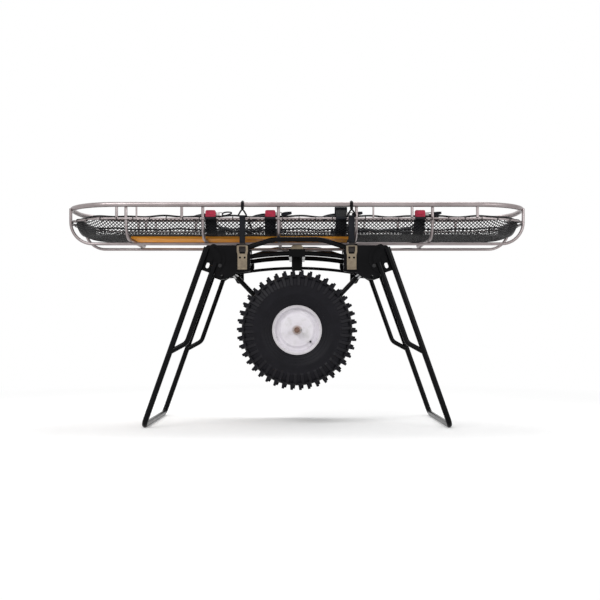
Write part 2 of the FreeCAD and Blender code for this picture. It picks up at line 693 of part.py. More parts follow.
def clamp_knob():
    """A bolt through the curved slot with a two-winged hand knob on the inner side."""
    outer = sector_out + 0.4
    head = cylinder("ClampHead", 8, 5, (clamp_x, -outer - 5, clamp_z), (0, 1, 0))
    inner = plate_back - 0.4
    shank = cylinder("ClampShank", "Sizes.clamp_bolt / 2", outer - inner + 10, (clamp_x, -outer, clamp_z), (0, 1, 0))
    body = new_body("KnobHub")
    reach = half("knob_length")
    boss = 11
    wing = 5
    points = [(clamp_x - reach, clamp_z - wing), (clamp_x + reach, clamp_z - wing),
              (clamp_x + reach, clamp_z + wing), (clamp_x - reach, clamp_z + wing)]
    back = inner - size("knob_depth")
    pad(body, body_sketch(body, "XZ_Plane", rounded(points, wing - 0.5, closed=True), back), 16)
    boss_rod = cylinder("KnobBoss", boss, "Sizes.knob_depth", (clamp_x, -inner, clamp_z), (0, 1, 0))
    return fuse("ClampKnob", [head, shank, body, boss_rod])


knob_names = ["clamp_knob_head_near", "clamp_knob_head_far", "clamp_knob_foot_near", "clamp_knob_foot_far"]
for label, item in zip(knob_names, four_corners(clamp_knob())):
    node(label, item)

# ---------------------------------------------------------------- handles
head_frame = Placement(Vector(pivot_x, 0, pivot_z), Rotation(Vector(0, 1, 0), size("leg_angle")))


def handle_main():
    """One bent tube: near leg, cross tube and far leg, standing outboard of the pivots."""
    plane = head_frame * Placement(Vector(-tube_side, 0, 0), Rotation(Vector(1, 1, 1), 120))
    points = [(-leg_y, size("tube_top")), (-leg_y, -size("handle_reach")), (leg_y, -size("handle_reach")),
              (leg_y, size("tube_top"))]
    return tube("HandleTube", points, size("handle_bend"), "handle_tube", plane)


head_main = node("head_handle_tube", handle_main())
node("foot_handle_tube", mirrored(head_main, ALONG))


def handle_brace():
    """The inner tube: parallel to the leg, then bent across to meet it."""
    plane = head_frame * plane_xz(-sector_out - half("brace_tube"))
    points = [(tube_side, -size("brace_start")), (tube_side, -size("brace_bend_at")),
              (-tube_side, -size("brace_join_at"))]
    return tube("Brace", points, 45, "brace_tube", plane)


brace_pair = group("BracePair", both_sides(handle_brace()))
head_braces = node("head_handle_braces", cut("HeadBraces", brace_pair, head_main))
node("foot_handle_braces", mirrored(head_braces, ALONG))


def polar(radius, angle):
    return flat(radius * math.cos(angle), radius * math.sin(angle))


def sector_plate():
    """The handle's index plate: a curved slot with a scalloped seat at each lock position."""
    body = new_body("Sector")
    body.Placement = head_frame
    radius = size("sector_radius")
    low = clamp_at - math.radians(16)
    span = index_angle * (size("index_count") - 1)
    high = clamp_at + span + math.radians(16)
    first, middle, last = polar(radius, low), polar(radius, (low + high) / 2), polar(radius, high)
    tongue_half = tube_side + 9
    outline = [flat(-tongue_half, -size("sector_reach")), flat(tongue_half, -size("sector_reach")), first]
    curves = [Part.LineSegment(a, b) for a, b in zip(outline, outline[1:])]
    curves.append(Part.Arc(first, middle, last))
    shoulder = flat(-tongue_half, 30)
    curves.append(Part.LineSegment(last, shoulder))
    curves.append(Part.LineSegment(shoulder, outline[0]))
    pad(body, body_sketch(body, "XZ_Plane", curves, sector_in), "Sizes.sector_thickness")
    r = size("index_radius")
    gap = half("clamp_bolt") + 0.35
    end = clamp_at + span
    mid = clamp_at + span / 2
    slot = [Part.Arc(polar(r - gap, clamp_at), polar(r - gap, mid), polar(r - gap, end)),
            Part.Arc(polar(r - gap, end), polar(r, end) + polar(gap, end + math.pi / 2), polar(r + gap, end)),
            Part.Arc(polar(r + gap, end), polar(r + gap, mid), polar(r + gap, clamp_at)),
            Part.Arc(polar(r + gap, clamp_at), polar(r, clamp_at) + polar(gap, clamp_at - math.pi / 2),
                     polar(r - gap, clamp_at))]
    pocket(body, body_sketch(body, "XZ_Plane", slot, sector_out))
    bore = circle_at(0, 0, half("pivot_bolt") + size("fit_gap"))
    window = rounded([(-7.5, -44), (7.5, -44), (7.5, -19), (-7.5, -19)], 7, closed=True)
    pocket(body, body_sketch(body, "XZ_Plane", [bore] + window, sector_out))
    seat_centre = polar(r, clamp_at)
    seat = body_sketch(body, "XZ_Plane", [circle_at(seat_centre.x, seat_centre.y, gap + 1.2)], sector_out)
    scallop = pocket(body, seat)
    pattern = body.newObject("PartDesign::PolarPattern", "IndexSeats")
    pattern.Originals = [scallop]
    pattern.Axis = (plane_of(body, "Y_Axis"), [""])
    pattern.Reversed = True
    pattern.Angle = math.degrees(span)
    pattern.setExpression("Occurrences", "Sizes.index_count")
    body.Tip = pattern
    return body


head_sectors = node("head_index_plates", group("HeadSectors", both_sides(sector_plate())))
node("foot_index_plates", mirrored(head_sectors, ALONG))

# ---------------------------------------------------------------- strap latches
base_out = plate_face + size("latch_plate")
hinge_y = base_out + 6.5
hinge_z = latch_low + 8
lever_in = base_out + 3.7
lever_mid = lever_in + half("latch_plate")
lever_top = hinge_z + size("lever_length")
bar_z = hinge_z + size("yoke_reach")
ear_x = half("latch_width") - size("latch_plate")


def hinge_bracket(name, low, height):
    """A riveted plate with two ears that hold a cross pin."""
    body = new_body(name)
    w = half("latch_width")
    outline = rounded([(latch_x - w, low), (latch_x + w, low), (latch_x + w, low + height),
                       (latch_x - w, low + height)], 4, closed=True)
    pad(body, body_sketch(body, "XZ_Plane", outline, plate_face), "Sizes.latch_plate")
    parts = [body]
    pin_z = low + hinge_z - latch_low
    for side in (-1, 1):
        ear = new_body(name + "Ear")
        inner = latch_x + side * (ear_x + half("latch_plate"))
        profile = rounded([(-hinge_y - 4.5, pin_z - 5), (-base_out, pin_z - 7), (-base_out, pin_z + 9),
                           (-hinge_y - 4.5, pin_z + 5)], [4, 0, 0, 4], closed=True)
        pad(ear, body_sketch(ear, "YZ_Plane", profile, inner - half("latch_plate")), "Sizes.latch_plate")
        parts.append(ear)
    parts.append(cylinder(name + "Pin", "Sizes.latch_pin / 2", 2 * ear_x, (latch_x - ear_x, -hinge_y, pin_z), (1, 0, 0)))
    return fuse(name + "Whole", parts)


node("latch_bases", group("LatchBases", both_ends(hinge_bracket("LatchBase", latch_low, size("latch_height")))))

# On the far side each strap ends on a plain anchor, set a little higher.
anchor_low = latch_low + size("anchor_rise")
anchor = mirrored(hinge_bracket("Anchor", anchor_low, size("latch_height") / 2), ACROSS)
node("strap_anchors", group("StrapAnchors", both_ends(anchor)))


def latch_lever():
    """The over-centre lever, its knuckle on the hinge pin, with the open yoke for the strap keeper."""
    body = new_body("LeverPlate")
    w = ear_x - 1
    yoke = half("yoke_width")
    top = bar_z + 1.5
    outer = [(latch_x - w, hinge_z), (latch_x + w, hinge_z), (latch_x + w, lever_top - 2),
             (latch_x + yoke, lever_top + 14), (latch_x + yoke, top), (latch_x - yoke, top),
             (latch_x - yoke, lever_top + 14), (latch_x - w, lever_top - 2)]
    outline = rounded(outer, [0, 0, 6, 8, 4, 4, 8, 6], closed=True)
    inner = yoke - 9.5
    window = [(latch_x - inner + 3, lever_top + 4), (latch_x + inner - 3, lever_top + 4), (latch_x + inner, lever_top + 17),
              (latch_x + inner, bar_z - 1.5), (latch_x - inner, bar_z - 1.5), (latch_x - inner, lever_top + 17)]
    outline += rounded(window, [4, 4, 6, 2, 2, 6], closed=True)
    for side in (-1, 1):
        outline.append(circle_at(latch_x + side * 10.4, lever_top - 13, 4.8))
    pad(body, body_sketch(body, "XZ_Plane", outline, lever_in), "Sizes.latch_plate")
    knuckle = cylinder("Knuckle", 4.3, 2 * w, (latch_x - w, -hinge_y, hinge_z), (1, 0, 0))
    bore = cylinder("KnuckleBore", size("latch_pin") / 2 + size("fit_gap"), 2 * w + 4,
                    (latch_x - w - 2, -hinge_y, hinge_z), (1, 0, 0))
    return cut("Lever", fuse("LeverSolid", [body, knuckle]), bore)


head_lever = latch_lever()
node("latch_lever_head", head_lever)
node("latch_lever_foot", mirrored(head_lever, ALONG))

# ---------------------------------------------------------------- tie-down straps
strap_y = base_out - 1.6
keeper_in = plate_face + 0.3
keeper_top = bar_z + 14
ring_top = rail_z - 25
ring_low = ring_top - 30


def strap_keeper():
    """The plate at the strap's lower end, with the ledge that the yoke bears down on."""
    body = new_body("Keeper")
    ledge_top = bar_z - 1.5 - 0.4
    outer = keeper_in + size("latch_plate")
    ledge_out = lever_in + size("latch_plate") - 0.5
    profile = [(-keeper_in, keeper_top), (-outer, keeper_top), (-outer, ledge_top), (-ledge_out, ledge_top),
               (-ledge_out, ledge_top - 5), (-outer, ledge_top - 8), (-outer, ledge_top - 24),
               (-keeper_in, ledge_top - 24)]
    w = half("yoke_width") - 9.5 - 2
    pad(body, body_sketch(body, "YZ_Plane", rounded(profile, 0, closed=True), latch_x - w), 2 * w)
    return body


node("strap_keepers", group("StrapKeepers", both_ends(strap_keeper())))

strap_top = ring_low - half("ring_wire")
near_strap = block("TieStrap", (latch_x - half("strap_width"), -strap_y - half("strap_thickness"), keeper_top),
                   (latch_x + half("strap_width"), -strap_y + half("strap_thickness"), strap_top))
anchor_pin_z = anchor_low + hinge_z - latch_low
pass_y = hinge_y - half("latch_pin") - half("strap_thickness") - 0.1
far_path = [(strap_y, strap_top), (strap_y, plate_top + 22), (pass_y, plate_top - 12), (pass_y, anchor_pin_z - 5)]
far_strap = strip("FarTieStrap", far_path, [0, 30, 30, 0], "strap_width", "strap_thickness", plane_yz(latch_x))
node("tie_straps", group("TieStraps", both_ends(near_strap) + both_ends(far_strap)))


def d_ring():
    """A forged D-ring: square below for the strap, round above for the hook."""
    body = new_body("DRing")
    wire = half("ring_wire")
    w = half("strap_width") + 2
    outer = [(latch_x - w - wire, ring_low - wire), (latch_x + w + wire, ring_low - wire),
             (latch_x + w + wire, ring_top + wire), (latch_x - w - wire, ring_top + wire)]
    inner = [(latch_x - w + wire, ring_low + wire), (latch_x + w - wire, ring_low + wire),
             (latch_x + w - wire, ring_top - wire), (latch_x - w + wire, ring_top - wire)]
    curves = rounded(outer, [4, 4, 15, 15], closed=True) + rounded(inner, [1, 1, 10, 10], closed=True)
    pad(body, body_sketch(body, "XZ_Plane", curves, strap_y - wire), "Sizes.ring_wire")
    return body


node("d_rings", group("DRings", four_corners(d_ring())))

hook_wrap = half("rail_diameter") + 0.2 + half("hook_thickness")
hook_points = [(-rail_y - hook_wrap, ring_top + half("ring_wire") + 0.2), (-rail_y - hook_wrap, rail_z + hook_wrap),
               (-rail_y + hook_wrap, rail_z + hook_wrap), (-rail_y + hook_wrap, rail_z - 6)]
hook = strip("RailHook", hook_points, hook_wrap - 0.1, "hook_width", "hook_thickness", plane_yz(latch_x))
node("rail_hooks", group("RailHooks", four_corners(hook)))


# ---------------------------------------------------------------- wheels
def wheel_frame():
    return Placement(Vector(0, -size("wheel_offset"), axle_z), Rotation())


def tyre():
    """A revolved carcass with two staggered rows of deep shoulder lugs."""
    body = new_body("Tyre")
    body.Placement = wheel_frame()
    seat = size("rim_seat") + 0.3
    valley = size("tyre_radius") - size("lug_depth")
    bead = half("rim_width") - 11
    wide = half("tyre_width")
    lower = [flat(valley - 6, -wide + 13), flat(valley, -wide + 29), flat(valley, wide - 29),
             flat(valley - 6, wide - 13)]
    curves = [Part.LineSegment(a, b) for a, b in zip(lower, lower[1:])]
    curves.append(Part.LineSegment(lower[-1], flat(valley - 48, wide)))
    curves.append(Part.LineSegment(flat(valley - 48, wide), flat(valley - 88, wide - 1)))
    curves.append(Part.LineSegment(flat(valley - 88, wide - 1), flat(116, wide - 19)))
    inner = [flat(116, wide - 19), flat(113.5, half("rim_width") - 2.2), flat(105.3, half("rim_width") - 5),
             flat(seat, bead), flat(seat, -bead), flat(105.3, -half("rim_width") + 5),
             flat(113.5, -half("rim_width") + 2.2), flat(116, -wide + 19)]
    curves += [Part.LineSegment(a, b) for a, b in zip(inner, inner[1:])]
    curves.append(Part.LineSegment(inner[-1], flat(valley - 88, 1 - wide)))
    curves.append(Part.LineSegment(flat(valley - 88, 1 - wide), flat(valley - 48, -wide)))
    curves.append(Part.LineSegment(flat(valley - 48, -wide), lower[0]))
    revolve(body, body_sketch(body, "XY_Plane", curves))
    tip = half("lug_tip")
    root = half("lug_root")
    foot_r = valley - 12
    for row, offset in ((0, wide - size("lug_length")), (1, -wide)):
        turn = math.radians(size("lug_stagger")) * (row - 0.5)
        corners = [flat(foot_r, -root), flat(size("tyre_radius"), -tip), flat(size("tyre_radius"), tip),
                   flat(foot_r, root)]
        spun = [(p.x * math.cos(turn) - p.y * math.sin(turn), p.x * math.sin(turn) + p.y * math.cos(turn))
                for p in corners]
        lug = pad(body, body_sketch(body, "XZ_Plane", rounded(spun, 0, closed=True), offset), "Sizes.lug_length")
        pattern = body.newObject("PartDesign::PolarPattern", "LugRow%d" % row)
        pattern.Originals = [lug]
        pattern.Axis = (plane_of(body, "Y_Axis"), [""])
        pattern.Angle = 360
        pattern.setExpression("Occurrences", "Sizes.lug_count")
        body.Tip = pattern
    return body


near_tyre = node("tyre_near", tyre())
node("tyre_far", mirrored(near_tyre, ACROSS))


def rim():
    """A pressed steel rim with a dished disc and a welded hub tube."""
    body = new_body("Rim")
    body.Placement = wheel_frame()
    e = half("rim_width") + 2
    seat = size("rim_seat")
    barrel = seat - size("rim_wall")
    flange = size("rim_flange")
    bore = half("axle_diameter") + size("fit_gap")
    hub = size("hub_radius")
    h = half("hub_length")
    near = [(bore, -h), (hub, -h), (hub, -60), (40, -58), (74, -55), (84, -48), (barrel, -46), (barrel, 10 - e),
            (103, 3 - e), (flange, -e), (flange, 3.5 - e), (105, 6 - e), (seat, 12 - e)]
    far = [(seat, e - 12), (105, e - 6), (flange, e - 3.5), (flange, e), (103, e - 3), (barrel, e - 10),
           (barrel, -42), (83, -44.5), (73, -51.5), (40, -54.5), (hub, -56.5), (hub, h), (bore, h)]
    revolve(body, body_sketch(body, "XY_Plane", rounded(near + far, 0, closed=True)))
    return body


near_rim = node("rim_near", rim())
node("rim_far", mirrored(near_rim, ACROSS))

valve_turn = math.radians(size("valve_angle"))
valve_foot = (size("valve_radius") * math.cos(valve_turn), -size("wheel_offset") - 58,
              axle_z - size("valve_radius") * math.sin(valve_turn))
near_valve = cylinder("Valve", "Sizes.valve_diameter / 2", 32, valve_foot, (0, 1, 0))
node("valve_near", near_valve)
node("valve_far", mirrored(near_valve, ACROSS))

# ---------------------------------------------------------------- checks and output
doc.recompute()
faults = []
for item in doc.Objects:
    if "Invalid" in item.State or "Error" in item.State:
        faults.append("%s (%s): %s" % (item.Name, item.Label, item.State))
for item in NODES:
    if item.Shape.isNull() or not item.Shape.isValid() or item.Shape.Volume <= 0:
        faults.append("%s has no valid solid" % item.Label)
if faults:
    print("\n".join(faults))
    sys.exit(1)

os.makedirs("parts", exist_ok=True)
for item in NODES:
    item.Shape.exportStep(os.path.join("parts", item.Label + ".step"))
print("pieces written:", len(NODES), "solids:", sum(len(item.Shape.Solids) for item in NODES))
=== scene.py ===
"""The looks of the wheeled basket litter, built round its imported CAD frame. All lengths are in metres."""
import json
import math

import bmesh
import bpy
from mathutils import Matrix, Vector

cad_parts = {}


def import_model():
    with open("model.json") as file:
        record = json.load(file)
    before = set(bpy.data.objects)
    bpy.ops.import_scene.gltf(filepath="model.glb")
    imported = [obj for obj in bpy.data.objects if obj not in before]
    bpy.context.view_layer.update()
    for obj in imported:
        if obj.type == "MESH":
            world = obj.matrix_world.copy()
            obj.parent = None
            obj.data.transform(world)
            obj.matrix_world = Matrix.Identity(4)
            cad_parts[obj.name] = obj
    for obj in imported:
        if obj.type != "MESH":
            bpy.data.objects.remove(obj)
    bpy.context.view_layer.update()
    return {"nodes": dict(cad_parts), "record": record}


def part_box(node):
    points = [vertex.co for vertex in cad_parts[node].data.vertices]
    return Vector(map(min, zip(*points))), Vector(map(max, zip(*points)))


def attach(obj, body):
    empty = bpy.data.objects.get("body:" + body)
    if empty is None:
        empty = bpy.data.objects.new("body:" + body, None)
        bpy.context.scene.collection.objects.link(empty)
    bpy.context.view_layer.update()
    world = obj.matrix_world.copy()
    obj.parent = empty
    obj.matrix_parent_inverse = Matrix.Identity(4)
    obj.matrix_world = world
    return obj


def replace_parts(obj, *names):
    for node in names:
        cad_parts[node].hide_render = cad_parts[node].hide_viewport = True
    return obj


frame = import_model()
nodes = frame["nodes"]
MM = 0.001
LUGS = 42                    # lugs round each row of a tyre
WELD = 0.01 * MM             # vertices closer than this are one


# ---------------------------------------------------------------- measures taken from the frame
def low(node):
    return Vector(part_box(node)[0])


def high(node):
    return Vector(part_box(node)[1])


rail_r = (high("top_rail_near").z - low("top_rail_near").z) / 2
rail_y = high("top_rail_far").y - rail_r
net_rail_z = (low("net_rail").z + high("net_rail").z) / 2
net_rail_r = (high("net_rail").z - low("net_rail").z) / 2
slat_top = high("slats").z
plate_face = high("hub_plates").y
plate_top = high("hub_plates").z
axle_z = (low("axle").z + high("axle").z) / 2


# ---------------------------------------------------------------- shader helpers
class Shader:
    """One node material, built from small reusable steps."""

    def __init__(self, name):
        self.mat = bpy.data.materials.new(name)
        self.mat.use_nodes = True
        self.tree = self.mat.node_tree
        self.bsdf = self.tree.nodes["Principled BSDF"]
        self.coords = self.tree.nodes.new("ShaderNodeTexCoord").outputs["Object"]

    def node(self, kind, **values):
        made = self.tree.nodes.new(kind)
        for key, value in values.items():
            setattr(made, key, value)
        return made

    def join(self, out, socket):
        self.tree.links.new(out, socket)

    def feed(self, value, socket):
        """Sets a number or a colour on the socket, or links an output to it."""
        if isinstance(value, (int, float)):
            socket.default_value = value
        elif isinstance(value, tuple):
            socket.default_value = (*value, 1)
        else:
            self.join(value, socket)

    def scaled(self, scale, vector=None):
        mapping = self.node("ShaderNodeMapping")
        mapping.inputs["Scale"].default_value = scale
        self.join(vector or self.coords, mapping.inputs["Vector"])
        return mapping.outputs["Vector"]

    def noise(self, scale, detail=4.0, rough=0.55, vector=None):
        tex = self.node("ShaderNodeTexNoise")
        tex.inputs["Scale"].default_value = scale
        tex.inputs["Detail"].default_value = detail
        tex.inputs["Roughness"].default_value = rough
        self.join(vector or self.coords, tex.inputs["Vector"])
        return tex.outputs["Fac"]

    def wave(self, scale, direction="X", distortion=0.0, vector=None):
        tex = self.node("ShaderNodeTexWave", bands_direction=direction)
        tex.inputs["Scale"].default_value = scale
        tex.inputs["Distortion"].default_value = distortion
        self.join(vector or self.coords, tex.inputs["Vector"])
        return tex.outputs["Fac"]

    def math(self, operation, first, second=None):
        made = self.node("ShaderNodeMath", operation=operation)
        for socket, value in zip(made.inputs, (first, second)):
            if value is not None:
                self.feed(value, socket)
        return made.outputs[0]

    def ramp(self, fac, stops):
        """A colour for each place of a value, from stops of (place, colour)."""
        made = self.node("ShaderNodeValToRGB")
        marks = made.color_ramp.elements
        while len(marks) < len(stops):
            marks.new(0.5)
        for mark, (place, colour) in zip(marks, stops):
            mark.position = place
            mark.color = (*colour, 1)
        self.join(fac, made.inputs["Fac"])
        return made.outputs["Color"]

    def spread(self, fac, from_low, from_high, to_low, to_high):
        """A value turned from one range into another, and held within that."""
        made = self.node("ShaderNodeMapRange")
        limits = {"From Min": from_low, "From Max": from_high, "To Min": to_low, "To Max": to_high}
        for key, value in limits.items():
            made.inputs[key].default_value = value
        self.join(fac, made.inputs["Value"])
        return made.outputs["Result"]

    def mix(self, fac, first, second):
        """From the first colour to the second as the factor goes from 0 to 1."""
        made = self.node("ShaderNodeMix", data_type="RGBA")
        for name, kind, value in (("Factor", "VALUE", fac), ("A", "RGBA", first), ("B", "RGBA", second)):
            socket = next(s for s in made.inputs if s.name == name and s.type == kind)
            self.feed(value, socket)
        return next(s for s in made.outputs if s.type == "RGBA")

    def bump(self, height, strength, distance, normal=None):
        made = self.node("ShaderNodeBump")
        made.inputs["Strength"].default_value = strength
        made.inputs["Distance"].default_value = distance
        self.join(height, made.inputs["Height"])
        if normal is not None:
            self.join(normal, made.inputs["Normal"])
        return made.outputs["Normal"]

    def finish(self, colour=None, rough=None, normal=None, **fixed):
        """Links what varies and sets what doesn't on the shader's own sockets."""
        for name, value in (("Base Color", colour), ("Roughness", rough), ("Normal", normal)):
            if value is not None:
                self.feed(value, self.bsdf.inputs[name])
        for name, value in fixed.items():
            self.bsdf.inputs[name.replace("_", " ")].default_value = value
        return self.mat


# ---------------------------------------------------------------- materials
def stainless():
    s = Shader("stainless")
    broad = s.noise(7, 3)
    fine = s.noise(420, 2, vector=s.scaled((0.08, 1, 1)))
    colour = s.ramp(broad, [(0.3, (0.25, 0.215, 0.215)), (0.55, (0.32, 0.28, 0.28)),
                            (0.75, (0.38, 0.34, 0.34))])
    rough = s.spread(s.noise(40, 4), 0.3, 0.7, 0.30, 0.44)
    return s.finish(colour, rough, s.bump(fine, 0.06, 0.0003), Metallic=1.0)


def black_paint():
    s = Shader("carrier_black")
    peel = s.noise(260, 2)
    film = s.noise(11, 4, 0.6)
    colour = s.ramp(film, [(0.35, (0.0022, 0.0022, 0.0027)), (0.7, (0.0042, 0.0042, 0.005))])
    return s.finish(colour, s.spread(film, 0.3, 0.75, 0.16, 0.27), s.bump(peel, 0.04, 0.0005),
                    Specular_IOR_Level=0.08)


def blackened():
    s = Shader("blackened")
    bloom = s.noise(120, 5, 0.65)
    colour = s.ramp(bloom, [(0.35, (0.010, 0.008, 0.0075)), (0.75, (0.034, 0.026, 0.022))])
    return s.finish(colour, s.spread(bloom, 0.3, 0.7, 0.34, 0.55), s.bump(bloom, 0.1, 0.0004), Metallic=0.5)


def zinc():
    s = Shader("zinc")
    flake = s.noise(150, 4)
    stain = s.noise(30, 6, 0.7)
    colour = s.mix(s.spread(stain, 0.38, 0.68, 0.0, 1.0), (0.25, 0.205, 0.145), (0.15, 0.12, 0.09))
    return s.finish(colour, s.spread(flake, 0.3, 0.7, 0.30, 0.48), s.bump(flake, 0.08, 0.0005),
                    Metallic=0.85)


def plain_steel():
    s = Shader("plain_steel")
    grain = s.noise(300, 3)
    colour = s.ramp(s.noise(60, 4), [(0.3, (0.26, 0.25, 0.245)), (0.7, (0.42, 0.41, 0.40))])
    return s.finish(colour, s.spread(grain, 0.3, 0.7, 0.28, 0.5), s.bump(grain, 0.06, 0.0004), Metallic=1.0)


def axle_steel():
    s = Shader("axle_steel")
    grain = s.noise(200, 5)
    rust = s.noise(70, 6, 0.7)
    colour = s.ramp(rust, [(0.3, (0.09, 0.045, 0.03)), (0.55, (0.17, 0.10, 0.075)),
                           (0.8, (0.27, 0.19, 0.16))])
    return s.finish(colour, s.spread(grain, 0.3, 0.7, 0.35, 0.6), s.bump(grain, 0.15, 0.0006), Metallic=0.5)


def wheel_polar(s):
    """The distance from the wheel's axis and the angle round it."""
    parts = s.node("ShaderNodeSeparateXYZ")
    s.join(s.coords, parts.inputs[0])
    across = parts.outputs["X"]
    up = s.math("SUBTRACT", parts.outputs["Z"], axle_z)
    squares = s.math("ADD", s.math("MULTIPLY", up, up), s.math("MULTIPLY", across, across))
    return s.math("SQRT", squares), s.math("ARCTAN2", up, across)


def tyre_rubber():
    """Black rubber: short bars between the lugs' roots and the wall, with a painted highlight on the bars,
    and fine rings on the wall.
    """
    s = Shader("tyre_rubber")
    grit = s.noise(700, 3)
    dust = s.noise(22, 7, 0.72)
    span, turn = wheel_polar(s)
    teeth = s.spread(s.math("SINE", s.math("MULTIPLY", turn, float(LUGS))), -0.25, 0.35, 0.0, 1.0)
    past_wall = s.spread(span, 0.196, 0.204, 0.0, 1.0)
    before_lugs = s.spread(span, 0.256, 0.262, 1.0, 0.0)
    bars = s.math("MULTIPLY", teeth, s.math("MULTIPLY", past_wall, before_lugs))
    rings = s.spread(s.math("SINE", s.math("MULTIPLY", span, 520.0)), 0.75, 0.98, 0.0, 0.35)
    wall = s.spread(span, 0.125, 0.175, 1.0, 0.0)
    relief = s.math("ADD", bars, s.math("MULTIPLY", rings, wall))
    colour = s.ramp(dust, [(0.35, (0.0036, 0.0034, 0.0052)), (0.6, (0.0062, 0.0058, 0.0085)),
                           (0.85, (0.013, 0.012, 0.015))])
    # painted highlight: the bars' colour is lifted towards grey, standing in for light on their faces
    wear_and_highlight = s.mix(s.math("MULTIPLY", bars, 0.35), colour, (0.022, 0.021, 0.024))
    normal = s.bump(relief, 0.9, 0.004, s.bump(grit, 0.2, 0.0005))
    return s.finish(wear_and_highlight, s.spread(dust, 0.3, 0.8, 0.42, 0.62), normal, Specular_IOR_Level=0.13)


def rim_paint():
    """White paint, stained at the hub, dirty at the tyre's bead, and worn in patches and faint rings."""
    s = Shader("rim_white")
    span, _ = wheel_polar(s)
    wobble = s.math("ADD", span, s.math("MULTIPLY", s.math("SUBTRACT", s.noise(60, 5, 0.6), 0.5), 0.008))
    stain = s.spread(wobble, 0.016, 0.024, 0.75, 0.0)
    bead_dirt = s.spread(wobble, 0.100, 0.108, 0.0, 0.5)
    near_hub = s.spread(span, 0.030, 0.075, 1.0, 0.35)
    patches = s.spread(s.noise(30, 5, 0.6), 0.48, 0.70, 0.0, 0.75)
    wear_and_highlight = s.math("MULTIPLY", near_hub, patches)
    rings = s.spread(s.math("SINE", s.math("MULTIPLY", span, 610.0)), 0.55, 1.0, 0.0, 0.10)
    smudge = s.math("MAXIMUM", wear_and_highlight, rings)
    white = s.ramp(s.noise(14, 4), [(0.3, (0.70, 0.665, 0.72)), (0.7, (0.76, 0.735, 0.775))])
    tinted = s.mix(stain, white, (0.30, 0.17, 0.12))
    dirty = s.mix(bead_dirt, tinted, (0.30, 0.28, 0.28))
    colour = s.mix(smudge, dirty, (0.47, 0.46, 0.44))
    rough = s.spread(s.noise(70, 4), 0.3, 0.7, 0.28, 0.44)
    normal = s.bump(s.noise(320, 2), 0.04, 0.0004)
    return s.finish(colour, rough, normal, Coat_Weight=0.15, Coat_Roughness=0.2)


def varnished_wood():
    s = Shader("varnished_wood")
    warped = s.noise(3.2, 6, 0.62, vector=s.scaled((0.55, 9, 9)))
    rings = s.wave(2.6, "Y", 9.0, vector=s.scaled((0.9, 22, 22)))
    fibre = s.noise(60, 5, 0.6, vector=s.scaled((0.25, 12, 12)))
    tone = s.ramp(warped, [(0.25, (0.88, 0.29, 0.03)), (0.5, (0.98, 0.40, 0.05)),
                           (0.75, (1.0, 0.53, 0.11))])
    lines = s.mix(s.spread(rings, 0.25, 0.8, 0.0, 0.4), tone, (0.52, 0.165, 0.014))
    colour = s.mix(s.spread(fibre, 0.45, 0.75, 0.0, 0.3), lines, (0.90, 0.54, 0.14))
    return s.finish(colour, s.spread(fibre, 0.3, 0.7, 0.42, 0.58), s.bump(fibre, 0.1, 0.0005),
                    Specular_IOR_Level=0.03)


def flow_coords(s):
    """The woven pieces carry their own length, width and depth at each vertex."""
    return s.node("ShaderNodeAttribute", attribute_name="flow").outputs["Vector"]


def webbing_cloth(name, tone):
    s = Shader(name)
    flow = flow_coords(s)
    ribs = s.wave(95, "X", 0.6, vector=flow)
    rows = s.wave(120, "Y", 0.4, vector=flow)
    weave = s.math("ADD", s.math("MULTIPLY", ribs, 0.6), s.math("MULTIPLY", rows, 0.4))
    fuzz = s.noise(900, 3)
    fade = s.noise(18, 5)
    dark = tuple(c * 0.6 for c in tone)
    pale = tuple(c * 1.5 + 0.003 for c in tone)
    base = s.ramp(fade, [(0.3, dark), (0.55, tone), (0.8, pale)])
    colour = s.mix(s.spread(weave, 0.2, 0.9, 0.35, 0.0), base, tuple(c * 0.3 for c in tone))
    normal = s.bump(fuzz, 0.2, 0.0003, s.bump(weave, 0.6, 0.0006))
    return s.finish(colour, s.spread(fuzz, 0.3, 0.7, 0.62, 0.85), normal, Specular_IOR_Level=0.15)


def net_plastic():
    s = Shader("net_plastic")
    tone = s.ramp(s.noise(30, 4), [(0.3, (0.004, 0.004, 0.005)), (0.7, (0.012, 0.0115, 0.013))])
    rough = s.spread(s.noise(80, 3), 0.3, 0.7, 0.38, 0.6)
    return s.finish(tone, rough, s.bump(s.noise(600, 2), 0.1, 0.0003), Specular_IOR_Level=0.15)


def pad_cover():
    s = Shader("pad_cover")
    grain = s.node("ShaderNodeTexVoronoi")
    grain.inputs["Scale"].default_value = 260
    s.join(s.coords, grain.inputs["Vector"])
    cells = grain.outputs["Distance"]
    tone = s.ramp(s.noise(24, 5), [(0.3, (0.008, 0.008, 0.010)), (0.7, (0.019, 0.0185, 0.020))])
    normal = s.bump(cells, 0.35, 0.0005)
    return s.finish(tone, s.spread(s.noise(60, 4), 0.3, 0.7, 0.42, 0.62), normal, Specular_IOR_Level=0.2)


def moulded(name, tone, rough):
    s = Shader(name)
    grain = s.noise(800, 2)
    patch = s.noise(40, 4)
    dark = tuple(c * 0.8 for c in tone)
    pale = tuple(min(c * 1.25 + 0.003, 1) for c in tone)
    colour = s.ramp(patch, [(0.3, dark), (0.7, pale)])
    uneven = s.spread(patch, 0.3, 0.7, rough - 0.06, rough + 0.1)
    return s.finish(colour, uneven, s.bump(grain, 0.12, 0.0003), Specular_IOR_Level=0.3)


def soft_rubber():
    s = Shader("soft_rubber")
    tone = s.ramp(s.noise(50, 4), [(0.3, (0.012, 0.012, 0.013)), (0.7, (0.028, 0.027, 0.028))])
    rough = s.spread(s.noise(90, 3), 0.3, 0.7, 0.6, 0.8)
    return s.finish(tone, rough, s.bump(s.noise(500, 3), 0.15, 0.0005), Specular_IOR_Level=0.2)


